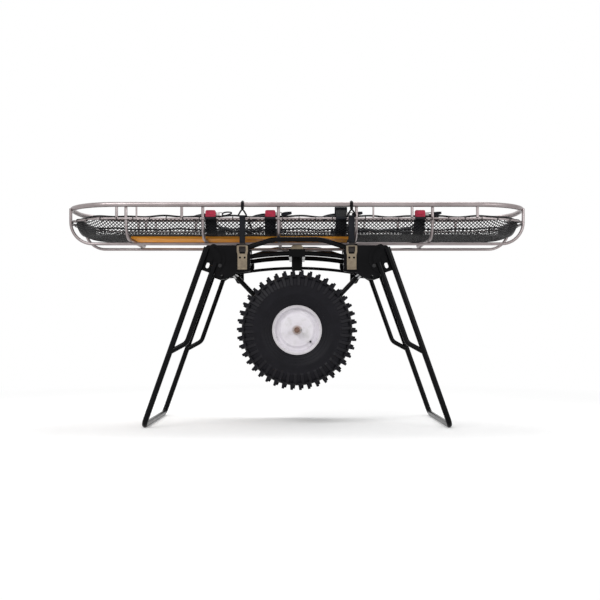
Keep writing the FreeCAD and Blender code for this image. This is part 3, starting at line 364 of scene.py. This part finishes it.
LOOKS = {
    "stainless": stainless(),
    "carrier_black": black_paint(),
    "zinc": zinc(),
    "screws": plain_steel(),
    "axle_steel": axle_steel(),
    "tyre": tyre_rubber(),
    "rim_white": rim_paint(),
    "wood": varnished_wood(),
    "webbing": webbing_cloth("webbing_black", (0.0095, 0.0105, 0.0145)),
    "netting": net_plastic(),
    "pads": pad_cover(),
    "buckle_black": moulded("buckle_black", (0.010, 0.010, 0.011), 0.34),
    "button_red": moulded("button_red", (0.36, 0.014, 0.045), 0.34),
    "knob": moulded("knob_black", (0.011, 0.011, 0.012), 0.46),
    "rubber": soft_rubber(),
    "blackened": blackened(),
}


def dress(obj, slot_name):
    obj.data.materials.clear()
    obj.data.materials.append(LOOKS[slot_name])


def round_shaded(mesh):
    for polygon in mesh.polygons:
        polygon.use_smooth = True


def smooth(obj, angle):
    """Smooth faces, with edges kept sharp above an angle in degrees."""
    round_shaded(obj.data)
    modifier = obj.modifiers.new("edges", "EDGE_SPLIT")
    modifier.split_angle = math.radians(angle)


for entry in frame["record"]["subparts"]:
    dress(nodes[entry["node"]], entry["material_slot"])
dress(nodes["release_button_3"], "buckle_black")          # the third buckle is black all over
dress(nodes["axle_washers"], "rim_white")                 # painted over with the rims


# ---------------------------------------------------------------- mesh helpers
def linked(name, data):
    """A new object in the scene."""
    obj = bpy.data.objects.new(name, data)
    bpy.context.scene.collection.objects.link(obj)
    return obj


def mesh_object(name, verts, faces, slot_name, flow=None):
    """A smooth piece on the carrier, with its length, width and depth at each vertex if it is woven."""
    mesh = bpy.data.meshes.new(name)
    mesh.from_pydata([tuple(v) for v in verts], [], faces)
    mesh.update()
    if flow is not None:
        layer = mesh.attributes.new("flow", "FLOAT_VECTOR", "POINT")
        for item, value in zip(layer.data, flow):
            item.vector = value
    obj = linked(name, mesh)
    round_shaded(mesh)
    dress(obj, slot_name)
    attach(obj, "carrier")
    return obj


def rigid_piece(piece, slot_name, angle):
    """Dresses a hard piece that rides on the carrier, its edges sharp above an angle in degrees."""
    dress(piece, slot_name)
    smooth(piece, angle)
    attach(piece, "carrier")
    return piece


def part_of(node, kept):
    """A copy of a node's mesh, open for work, with only the vertices that kept() chooses."""
    mesh = nodes[node].data.copy()
    work = bmesh.new()
    work.from_mesh(mesh)
    bmesh.ops.delete(work, geom=[v for v in work.verts if not kept(v.co)], context="VERTS")
    bmesh.ops.remove_doubles(work, verts=work.verts, dist=WELD)
    return mesh, work


def written(work, mesh):
    """Puts the work back into its mesh."""
    work.to_mesh(mesh)
    work.free()
    return mesh


def applied(obj):
    """The object's mesh with its modifiers worked in."""
    graph = bpy.context.evaluated_depsgraph_get()
    done = bpy.data.meshes.new_from_object(obj.evaluated_get(graph), preserve_all_data_layers=True,
                                           depsgraph=graph)
    obj.modifiers.clear()
    obj.data = done
    return obj


def catmull(points, steps):
    """A smooth line through the points."""
    line = []
    padded = [points[0] * 2 - points[1]] + points + [points[-1] * 2 - points[-2]]
    for i in range(1, len(padded) - 2):
        a, b, c, d = padded[i - 1:i + 3]
        for k in range(steps):
            t = k / steps
            line.append(0.5 * (2 * b + (c - a) * t + (2 * a - 5 * b + 4 * c - d) * t * t
                               + (3 * b - a - 3 * c + d) * t ** 3))
    line.append(points[-1])
    return line


def band(name, points, width, thickness, steps, across=Vector((1, 0, 0))):
    """A woven band with rounded edges along a smooth line; it stands across the line's plane."""
    line = catmull([Vector(p) for p in points], steps)
    half_w = width / 2
    half_t = thickness / 2
    flat_w = half_w - half_t * 0.6
    ring = [(-half_w, 0), (-flat_w, half_t), (flat_w, half_t),
            (half_w, 0), (flat_w, -half_t), (-flat_w, -half_t)]
    verts = []
    flow = []
    run = 0.0
    for i, here in enumerate(line):
        ahead = line[min(i + 1, len(line) - 1)] - line[max(i - 1, 0)]
        ahead.normalize()
        side = (across - ahead * across.dot(ahead)).normalized()
        up = ahead.cross(side)
        if i:
            run += (here - line[i - 1]).length
        for w, t in ring:
            verts.append(here + side * w + up * t)
            flow.append((run, w, t))
    size = len(ring)
    faces = []
    for i in range(len(line) - 1):
        for k in range(size):
            a = i * size + k
            b = i * size + (k + 1) % size
            faces.append((a, b, b + size, a + size))
    faces.append(tuple(reversed(range(size))))
    faces.append(tuple(range(len(verts) - size, len(verts))))
    return mesh_object(name, verts, faces, "webbing", flow)


def closed_tube(name, line, radius, slot_name, sides=8):
    """A round cord or wire along a closed line of points."""
    verts = []
    faces = []
    count = len(line)
    side = None
    for i, here in enumerate(line):
        ahead = (line[(i + 1) % count] - line[i - 1]).normalized()
        if side is None:
            side = ahead.orthogonal().normalized()
        side = (side - ahead * side.dot(ahead)).normalized()
        up = ahead.cross(side)
        for k in range(sides):
            turn = 2 * math.pi * k / sides
            verts.append(here + side * math.cos(turn) * radius + up * math.sin(turn) * radius)
    for i in range(count):
        a = i * sides
        b = (i + 1) % count * sides
        for k in range(sides):
            n = (k + 1) % sides
            faces.append((a + k, a + n, b + n, b + k))
    return mesh_object(name, verts, faces, slot_name)


def joined(name, parts):
    """Several mesh objects as one piece."""
    first = parts[0]
    with bpy.context.temp_override(active_object=first, selected_editable_objects=parts, object=first,
                                   selected_objects=parts):
        bpy.ops.object.join()
    first.name = name
    first.data.name = name
    return first


# ---------------------------------------------------------------- basket: open diamond netting
def netting():
    """Diamond mesh of two crossing families of cords, laid over the floor and rolled up the walls."""
    edge = high("netting")
    inset = 1.5 * MM
    half_x = edge.x - inset
    half_y = edge.y - inset
    floor = slat_top + 1.2 * MM                   # it lies over the slats
    bend = edge.z - floor - 1 * MM                # radius of the roll from floor to wall
    plan_corner = 230 * MM - inset - bend         # corner radius of the flat floor
    core_x = half_x - bend - plan_corner
    core_y = half_y - bend - plan_corner
    reach_up = bend * math.pi / 2
    half_cord = 2.1 * MM
    depth = 1.1 * MM
    cell_x, cell_z = 17.4 * MM, 15.8 * MM

    def roll(x, y):
        """Where a point of the flat sheet comes to and which way is in, or None past the edge."""
        near_x = max(-core_x, min(core_x, x))
        near_y = max(-core_y, min(core_y, y))
        out = Vector((x - near_x, y - near_y, 0))
        reach = out.length
        if reach <= plan_corner:
            return Vector((x, y, floor)), Vector((0, 0, 1))
        out.normalize()
        turn = (reach - plan_corner) / bend
        if turn > math.pi / 2:
            return None
        place = Vector((near_x, near_y, floor + bend)) + out * plan_corner
        swing = out * math.sin(turn) - Vector((0, 0, math.cos(turn)))
        return place + swing * bend, -swing

    columns = int((half_x + reach_up) / cell_x) * 2
    rows = int((half_y + reach_up) / cell_z) * 2
    knots = {}
    for i in range(-columns, columns + 1):
        for j in range(-rows, rows + 1):
            if (i + j) % 2 == 0:
                spot = roll(i * cell_x / 2, j * cell_z / 2)
                if spot is not None:
                    knots[(i, j)] = spot
    verts = []
    faces = []
    for lean in (1, -1):
        rings = {}
        for (i, j), (place, inward) in knots.items():
            ahead = knots.get((i + 1, j + lean))
            if ahead is None:
                ahead = knots.get((i - 1, j - lean))
            if ahead is None:
                continue
            side = (ahead[0] - place).cross(inward).normalized()
            if (i + 1, j + lean) not in knots:
                side = -side
            rings[(i, j)] = len(verts)
            verts += [place + inward * depth, place - inward * depth / 2 + side * half_cord,
                      place - inward * depth / 2 - side * half_cord]
        for (i, j), a in rings.items():
            b = rings.get((i + 1, j + lean))
            if b is not None:
                faces += [(a + k, b + k, b + (k + 1) % 3, a + (k + 1) % 3) for k in range(3)]
    return mesh_object("diamond_netting", verts, faces, "netting")


def rounded_loop(half_x, half_y, corner, z, step):
    """Evenly spaced points round a rounded rectangle, with the outward direction at each."""
    straight_x = 2 * (half_x - corner)
    straight_y = 2 * (half_y - corner)
    arc = math.pi / 2 * corner
    total = 2 * (straight_x + straight_y) + 4 * arc
    count = int(total / step)
    spots = []
    for k in range(count):
        run = total * k / count
        for side in range(4):
            straight = straight_x if side % 2 == 0 else straight_y
            turn = side * math.pi / 2
            ahead = Vector((math.cos(turn), math.sin(turn)))
            out = Vector((ahead.y, -ahead.x))
            centre_line = half_y if side % 2 == 0 else half_x
            if run <= straight:
                spots.append((out * centre_line + ahead * (run - straight / 2), out))
                break
            run -= straight
            if run <= arc:
                bend = run / corner
                normal = Matrix.Rotation(bend, 2) @ out
                pivot = out * (centre_line - corner) + ahead * straight / 2
                spots.append((pivot + normal * corner, normal))
                break
            run -= arc
    return [(Vector((p.x, p.y, z)), Vector((n.x, n.y, 0))) for p, n in spots]


def net_binding():
    """A thick hem that lifts between its ties, and the ties that hold the net to its rail."""
    edge = high("netting")
    inset = 2 * MM
    hem_corner = 228 * MM
    hem_step = 16 * MM
    hem = []
    for place, _ in rounded_loop(edge.x - inset, edge.y - inset, hem_corner, edge.z, hem_step):
        lift = 0.5 + 0.5 * math.sin(place.x * 31 + 1.2) * math.cos(place.x * 9.5 - 0.6)
        hem.append(place + Vector((0, 0, 3 * MM + 8 * MM * lift)))
    pieces = [closed_tube("net_hem", hem, 4.2 * MM, "netting")]
    rail = high("net_rail")
    rail_corner = 249 * MM
    tie_step = 74 * MM
    tie_points = 14
    half_wide = 19.5 * MM
    half_tall = 8.6 * MM
    spots = rounded_loop(rail.x - net_rail_r, rail.y - net_rail_r, rail_corner, net_rail_z, tie_step)
    for centre, out in spots:
        middle = centre - out * 11.5 * MM
        turns = []
        for k in range(tie_points):
            swing = 2 * math.pi * k / tie_points
            rise = Vector((0, 0, math.sin(swing) * half_tall))
            turns.append(middle + out * math.cos(swing) * half_wide + rise)
        pieces.append(closed_tube("net_tie", turns, 1.7 * MM, "netting", sides=5))
    return joined("net_binding", pieces)


net = netting()
net_binding()
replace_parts(net, "netting")


# ---------------------------------------------------------------- restraint straps
housing_low, housing_high = low("buckle_housings"), high("buckle_housings")
buckle_xs = [(low("release_button_%d" % k).x + high("release_button_%d" % k).x) / 2 for k in (1, 2, 3, 4)]
strap_width = 50 * MM
strap_thickness = 2.2 * MM
wrap_r = net_rail_r + 1.5 * MM
wrap_top = net_rail_z + wrap_r
drop_y = rail_y - 34 * MM                    # where a strap drops inside the basket's wall
lie_z = slat_top + 4.2 * MM                  # where it lies over the net on the slats


def rail_wrap(side, start_deg, end_deg, steps=9):
    """Points round a net rail, seen from its end, between two angles; side is -1 for the near rail."""
    spots = []
    for k in range(steps + 1):
        turn = math.radians(start_deg + (end_deg - start_deg) * k / steps)
        spots.append((side * (rail_y + wrap_r * math.cos(turn)), net_rail_z + wrap_r * math.sin(turn)))
    return spots


def patient_strap(name, x, sway):
    """Looped over the near net rail, down inside the net, slack over the floor and up to the far rail."""
    slack = ((-0.19, 2), (-0.12, 0), (-0.05, 3), (0.05, 4), (0.12, 0), (0.19, 2))
    path = rail_wrap(-1, -50, 92)
    path += [(-rail_y + 20 * MM, wrap_top), (-drop_y - 5 * MM, wrap_top - 1 * MM),
             (-drop_y, wrap_top - 9 * MM), (-drop_y + 5 * MM, wrap_top - 24 * MM),
             (-drop_y + 20 * MM, lie_z + 15 * MM)]
    path += [(y, lie_z + rise * MM) for y, rise in slack]
    path += [(drop_y - 20 * MM, lie_z + 15 * MM), (drop_y - 5 * MM, wrap_top - 24 * MM),
             (drop_y, wrap_top - 9 * MM), (drop_y + 5 * MM, wrap_top - 1 * MM),
             (rail_y - 20 * MM, wrap_top)]
    path += list(reversed(rail_wrap(1, -50, 92)))
    points = [(x + sway * math.exp(-(y / 0.12) ** 2), y, z) for y, z in path]
    return band(name, points, strap_width, strap_thickness, steps=4)


def strap_tail(name, x, reach):
    """The loose end: it sags in a crescent from its buckle and trails along the floor in low waves."""
    y = -drop_y + 11 * MM
    z = net_rail_z - 2 * MM
    fall = z - lie_z
    shape = ((0, -4, 0), (0.10, 0, 0.28), (0.24, 9, 0.56), (0.42, 16, 0.62), (0.62, 24, 0.82),
             (0.86, 32, 0.70), (1.12, 30, 0.80), (1.40, 33, 0.68), (1.72, 36, 0.83), (2.0, 36, 0.78))
    points = [(x + reach * along, y + inward * MM, z - fall * drop) for along, inward, drop in shape]
    return band(name, points, 38 * MM, strap_thickness, steps=7, across=Vector((0.1, 0.95, 0.34)))


def adjuster_loop(name, x, turned):
    """The short folded end that stands beside its buckle and runs down behind the net rail."""
    y = -drop_y + 3 * MM
    z = net_rail_z + 14 * MM
    shape = ((0, 0, 0), (30, 1, 2), (50, 2, -1), (68, 3, -5), (84, 4, -11))
    points = [(x + turned * u * MM, y + v * MM, z + w * MM) for u, v, w in shape]
    return band(name, points, 22 * MM, strap_thickness, steps=5, across=Vector((0, 0.2, 0.98)))


def tongue_loop(name, x, thick):
    """The webbing that is sewn round the tongue's bar, left standing out as a flat loop."""
    middle = Vector((x + 74 * MM, housing_high.y - 5.5 * MM, (housing_low.z + housing_high.z) / 2 - 3 * MM))
    half_long = 22 * MM
    half_tall = (6 - 2.5 * thick) * MM
    count = 13
    points = []
    for k in range(count):
        swing = 2 * math.pi * (k + 0.5) / count
        along = half_long * math.cos(swing)
        rise = half_tall * math.sin(swing) * (1.1 - 0.4 * math.cos(swing))
        points.append(middle + Vector((along, 0, rise + along * 0.16)))
    return band(name, points, 20 * MM, (4 + 3.5 * thick) * MM, steps=3, across=Vector((0, 1, 0)))


def folded_bundle(name, x):
    """The third strap's spare length, folded up on itself behind its buckle."""
    foot = housing_low.z + 2 * MM
    head = foot + 42 * MM
    points = []
    for fold in range(4):
        y = -drop_y + (3 + 5 * fold) * MM
        ends = (foot, head) if fold % 2 == 0 else (head, foot)
        points += [(x, y, ends[0]), (x, y - 0.8 * MM, (foot + head) / 2), (x, y, ends[1])]
    return band(name, points, 56 * MM, strap_thickness, steps=5)


def moulded_piece(name, mesh, slot_name, width):
    """A rigid piece with its edges eased."""
    piece = linked(name, mesh)
    bevel = piece.modifiers.new("eased", "BEVEL")
    bevel.width = width
    bevel.segments = 3
    bevel.limit_method = "ANGLE"
    bevel.angle_limit = math.radians(50)
    applied(piece)
    return rigid_piece(piece, slot_name, 40)


def buckle(name, x, slot_name):
    """One housing round its button, low on its strap."""
    half_reach = 60 * MM                      # each way along the basket, past the housing
    mesh, work = part_of("buckle_housings", lambda p: abs(p.x - x) <= half_reach)
    bmesh.ops.dissolve_limit(work, angle_limit=math.radians(2), verts=work.verts, edges=work.edges)
    middle = (housing_low.z + housing_high.z) / 2
    still = 10 * MM                           # half the height of what stays where it is
    top_down = 7 * MM
    bottom_down = 2 * MM
    for v in work.verts:
        if v.co.z > middle + still:
            v.co.z -= top_down
        elif v.co.z < middle - still:
            v.co.z -= bottom_down
    return moulded_piece(name, written(work, mesh), slot_name, 1.1 * MM)


def tongue(name, housing_x):
    """The plate that clicks into the housing, with a slot for its strap."""
    x = housing_x + 22 * MM
    y = housing_high.y - 4 * MM
    z = (housing_low.z + housing_high.z) / 2 - 6 * MM
    outline = [(0, -9), (28, -10), (34, -6), (34, 6), (28, 10), (0, 9)]
    window = [(18, -5), (26, -6), (28.5, -4), (28.5, 4), (26, 6), (18, 5)]
    verts = []
    for depth in (0, -3):
        for ring in (outline, window):
            verts += [(x + u * MM, y + depth * MM, z + v * MM) for u, v in ring]
    faces = []
    for k in range(6):
        n = (k + 1) % 6
        faces += [(k, n, 6 + n, 6 + k), (12 + k, 18 + k, 18 + n, 12 + n), (k, 12 + k, 12 + n, n),
                  (6 + k, 6 + n, 18 + n, 18 + k)]
    mesh = bpy.data.meshes.new("tongue")
    mesh.from_pydata(verts, [], faces)
    work = bmesh.new()
    work.from_mesh(mesh)
    bmesh.ops.recalc_face_normals(work, faces=work.faces)
    return moulded_piece(name, written(work, mesh), "screws", 0.6 * MM)


# For each restraint strap: its sway over the floor in mm, half the reach of its tail in metres, the side
# that its folded end lies to, whether its tongue's loop is thick (1) or thin (0), and its housing's look.
STRAPS = (
    (12, 0.17, -1, 0, "button_red"),
    (-10, -0.15, -1, 1, "button_red"),
    (14, 0.16, -1, 1, "buckle_black"),
    (-12, -0.17, 1, 1, "button_red"),
)
strap_pieces = []
for index, (x, (sway, reach, turned, thick, _)) in enumerate(zip(buckle_xs, STRAPS)):
    name = "strap_%d_" % index
    parts = [patient_strap(name + "main", x, sway * MM), strap_tail(name + "tail", x, reach),
             adjuster_loop(name + "end", x, turned), tongue_loop(name + "loop", x, thick)]
    if index == 2:
        parts.append(folded_bundle("strap_bundle", x))
    strap_pieces.append(joined("restraint_strap_%d" % (index + 1), parts))
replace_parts(strap_pieces[0], "patient_webbing")
buckles = [buckle("buckle_%d" % k, x, strap[-1]) for k, x, strap in zip((1, 2, 3, 4), buckle_xs, STRAPS)]
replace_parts(buckles[0], "buckle_housings")
tongues = [tongue("buckle_tongue_%d" % k, x) for k, x in zip((1, 2, 3, 4), buckle_xs)]
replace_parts(tongues[0], "buckle_tongues")


# ---------------------------------------------------------------- tie-down straps
tie_low, tie_high = low("tie_straps"), high("tie_straps")
tie_y = tie_high.y - 1 * MM
bar_z = tie_high.z + 2.5 * MM                # the ring's lower bar
latch_x = (low("latch_lever_foot").x + high("latch_lever_foot").x) / 2
TIE_DOWNS = (
    ("head_near", -latch_x, -1),
    ("head_far", -latch_x, 1),
    ("foot_near", latch_x, -1),
    ("foot_far", latch_x, 1),
)


def tie_down(name, x, side, lower_end):
    """Webbing up to the ring's lower bar, doubled back through it and stitched."""
    top = tie_high.z
    turn = 3.6 * MM                           # radius of its turn round the bar
    steps = 6
    main = lower_end + [(x, side * tie_y, top - 30 * MM), (x, side * (tie_y + 0.8 * MM), top - 8 * MM)]
    for k in range(steps + 1):
        angle = math.radians(-20 + 220 * k / steps)
        main.append((x, side * (tie_y + turn * math.cos(angle)), bar_z + turn * math.sin(angle)))
    main += [(x, side * (tie_y - 3.4 * MM), top - 12 * MM), (x, side * (tie_y - 2.8 * MM), top - 50 * MM),
             (x, side * (tie_y - 2.6 * MM), top - 62 * MM)]
    return band(name, main, 26 * MM, 2 * MM, steps=4)


def near_end(x):
    """It starts at the keeper that the yoke bears down on."""
    foot = high("strap_keepers").z
    return [(x, -tie_y, foot), (x, -tie_y, foot + 30 * MM)]


def far_end(x):
    """It starts behind the anchor's pin and comes out past the plate's edge."""
    behind = plate_face + 6.4 * MM
    return [(x, behind, tie_low.z), (x, behind, tie_low.z + 25 * MM), (x, behind, plate_top - 14 * MM),
            (x, (behind + tie_y) / 2, plate_top + 5 * MM), (x, tie_y, plate_top + 24 * MM)]


tie_pieces = []
for where, x, side in TIE_DOWNS:
    lower_end = near_end(x) if side < 0 else far_end(x)
    tie_pieces.append(tie_down("tie_strap_" + where, x, side, lower_end))
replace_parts(tie_pieces[0], "tie_straps")


def stout_posts():
    """The short posts under the top rail, four of the six pairs stouter than in the solids."""
    stout_xs = (-806 * MM, -515 * MM, 514 * MM, 806 * MM)
    past_post = 6 * MM
    stouter = 1.6
    mesh = nodes["rail_posts"].data.copy()
    for v in mesh.vertices:
        for middle_x in stout_xs:
            if abs(v.co.x - middle_x) < past_post:
                middle_y = math.copysign(rail_y, v.co.y)
                v.co.x = middle_x + (v.co.x - middle_x) * stouter
                v.co.y = middle_y + (v.co.y - middle_y) * stouter
                break
    return rigid_piece(linked("short_posts", mesh), "stainless", 50)


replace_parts(stout_posts(), "rail_posts")


def rail_hook(name, x, side):
    """A narrow forged hook over the top rail, with a round nub where it crosses the top."""
    width_share = 0.7                         # of the solid hook's width
    nub_z = high("rail_hooks").z - 2 * MM
    half_reach = 40 * MM                      # each way along the rail, past the hook
    mesh, work = part_of("rail_hooks", lambda p: abs(p.x - x) <= half_reach and p.y * side >= 0)
    for v in work.verts:
        v.co.x = x + (v.co.x - x) * width_share
    nub = bmesh.ops.create_uvsphere(work, u_segments=16, v_segments=10, radius=5.5 * MM)
    for v in nub["verts"]:
        v.co += Vector((x, side * rail_y, nub_z))
    return rigid_piece(linked(name, written(work, mesh)), "carrier_black", 50)


def d_ring(name, x, side):
    """A forged ring, wide below for the strap and narrow above for the hook."""
    outline = [(0, 0), (14, 0.3), (17.5, 3.5), (16, 8), (9, 20), (4, 27), (0, 29)]
    outline += [(-u, v) for u, v in reversed(outline[1:-1])]
    points = [Vector((x + u * MM, side * tie_y, bar_z + v * MM)) for u, v in outline]
    line = catmull(points + [points[0]], 3)[:-1]
    return closed_tube(name, line, 3.8 * MM, "carrier_black", sides=10)


rings = [d_ring("d_ring_" + where, x, side) for where, x, side in TIE_DOWNS]
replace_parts(rings[0], "d_rings")
hooks = [rail_hook("rail_hook_" + where, x, side) for where, x, side in TIE_DOWNS]
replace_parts(hooks[0], "rail_hooks")


# ---------------------------------------------------------------- end pads
def swell(pad):
    """Swells the pad by simulation, and moves no vertex further than the cap."""
    steps = 14
    cap = 4 * MM
    start = [v.co.copy() for v in pad.data.vertices]
    cloth = pad.modifiers.new("cloth", "CLOTH")
    cloth.settings.use_pressure = True
    cloth.settings.uniform_pressure_force = 4
    cloth.settings.effector_weights.gravity = 0
    cloth.point_cache.frame_start = 1
    cloth.point_cache.frame_end = steps
    for step in range(1, steps + 1):
        bpy.context.scene.frame_set(step)
    applied(pad)
    bpy.context.scene.frame_set(1)
    for v, origin in zip(pad.data.vertices, start):
        move = v.co - origin
        if move.length > cap:
            v.co = origin + move * (cap / move.length)


def end_pad(name, sign):
    """A padded end board: the CAD block, a little smaller, remeshed and swelled under its cover."""
    core_share = 0.955                        # of the solid's size, which leaves room to swell
    core_top = net_rail_z + 8 * MM
    mesh, work = part_of("end_pads", lambda p: p.x * sign >= 0)
    centre = sum((v.co for v in work.verts), Vector()) / len(work.verts)
    for v in work.verts:
        v.co = centre + (v.co - centre) * core_share
        v.co.z = min(v.co.z, core_top)
    pad = linked(name, written(work, mesh))
    remesh = pad.modifiers.new("remesh", "REMESH")
    remesh.mode = "VOXEL"
    remesh.voxel_size = 6 * MM
    applied(pad)
    swell(pad)
    relax = pad.modifiers.new("relax", "SMOOTH")
    relax.iterations = 4
    applied(pad)
    round_shaded(pad.data)
    dress(pad, "pads")
    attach(pad, "carrier")
    return pad


head_pad = end_pad("head_end_pad", -1)
end_pad("foot_end_pad", 1)
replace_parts(head_pad, "end_pads")


# ---------------------------------------------------------------- floor, light and camera
def seen_directly(tree):
    """1 for what the camera, a gloss or a glass shows, 0 for the light that falls on the object."""
    path = tree.nodes.new("ShaderNodeLightPath")
    total = path.outputs["Is Camera Ray"]
    for name in ("Is Glossy Ray", "Is Transmission Ray"):
        joiner = tree.nodes.new("ShaderNodeMath")
        joiner.operation = "MAXIMUM"
        tree.links.new(total, joiner.inputs[0])
        tree.links.new(path.outputs[name], joiner.inputs[1])
        total = joiner.outputs[0]
    return total


def floor():
    """Pale under the object, where its shadow falls, and running out to plain white."""
    bpy.ops.mesh.primitive_plane_add(size=60, location=(0, 0, 0))
    plane = bpy.context.object
    plane.name = "studio_floor"
    s = Shader("studio_floor")
    s.finish((0.86, 0.86, 0.86), 0.95, None, Specular_IOR_Level=0.0)
    lift = s.node("ShaderNodeEmission")
    lift.inputs["Strength"].default_value = 0.24
    shaded = s.node("ShaderNodeAddShader")
    s.join(s.bsdf.outputs[0], shaded.inputs[0])
    s.join(lift.outputs[0], shaded.inputs[1])
    white = s.node("ShaderNodeEmission")
    white.inputs["Strength"].default_value = 1.0
    reach = s.node("ShaderNodeVectorMath", operation="LENGTH")
    s.join(s.coords, reach.inputs[0])
    away = s.spread(reach.outputs["Value"], 1.5, 3.2, 0.0, 1.0)
    shown = s.node("ShaderNodeMixShader")
    s.join(away, shown.inputs[0])
    s.join(shaded.outputs[0], shown.inputs[1])
    s.join(white.outputs[0], shown.inputs[2])
    result = s.node("ShaderNodeMixShader")
    s.join(seen_directly(s.tree), result.inputs[0])
    s.join(s.bsdf.outputs[0], result.inputs[1])
    s.join(shown.outputs[0], result.inputs[2])
    s.join(result.outputs[0], s.tree.nodes["Material Output"].inputs["Surface"])
    plane.data.materials.append(s.mat)


def world():
    backdrop = bpy.data.worlds.new("studio")
    bpy.context.scene.world = backdrop
    backdrop.use_nodes = True
    tree = backdrop.node_tree
    fill = tree.nodes["Background"]
    fill.inputs["Color"].default_value = (1, 1, 1, 1)
    fill.inputs["Strength"].default_value = 0.48
    white = tree.nodes.new("ShaderNodeBackground")
    white.inputs["Color"].default_value = (1, 1, 1, 1)
    white.inputs["Strength"].default_value = 1.0
    blend = tree.nodes.new("ShaderNodeMixShader")
    tree.links.new(seen_directly(tree), blend.inputs[0])
    tree.links.new(fill.outputs[0], blend.inputs[1])
    tree.links.new(white.outputs[0], blend.inputs[2])
    tree.links.new(blend.outputs[0], tree.nodes["World Output"].inputs[0])


def area_light(name, place, target, width, power):
    data = bpy.data.lights.new(name, "AREA")
    data.shape = "RECTANGLE"
    data.size = width
    data.size_y = width * 0.6
    data.energy = power
    lamp = linked(name, data)
    lamp.location = place
    lamp.rotation_euler = (Vector(target) - Vector(place)).to_track_quat("-Z", "Y").to_euler()


def camera():
    data = bpy.data.cameras.new("view")
    data.sensor_width = 36
    data.lens = 56.5
    data.shift_x = 0.005
    data.shift_y = 0.05
    eye = linked("view", data)
    eye.location = (0, -4.5, 0.436)
    eye.rotation_euler = (math.pi / 2, 0, 0)
    bpy.context.scene.camera = eye


floor()
world()
area_light("key", (-2.2, -3.4, 3.2), (0, 0, 0.7), 2.4, 95)
area_light("fill", (2.8, -3.0, 1.6), (0, 0, 0.6), 2.0, 34)
area_light("top", (0.2, 1.2, 3.4), (0, 0, 0.7), 2.6, 60)
camera()
bpy.context.scene.view_settings.view_transform = "Standard"
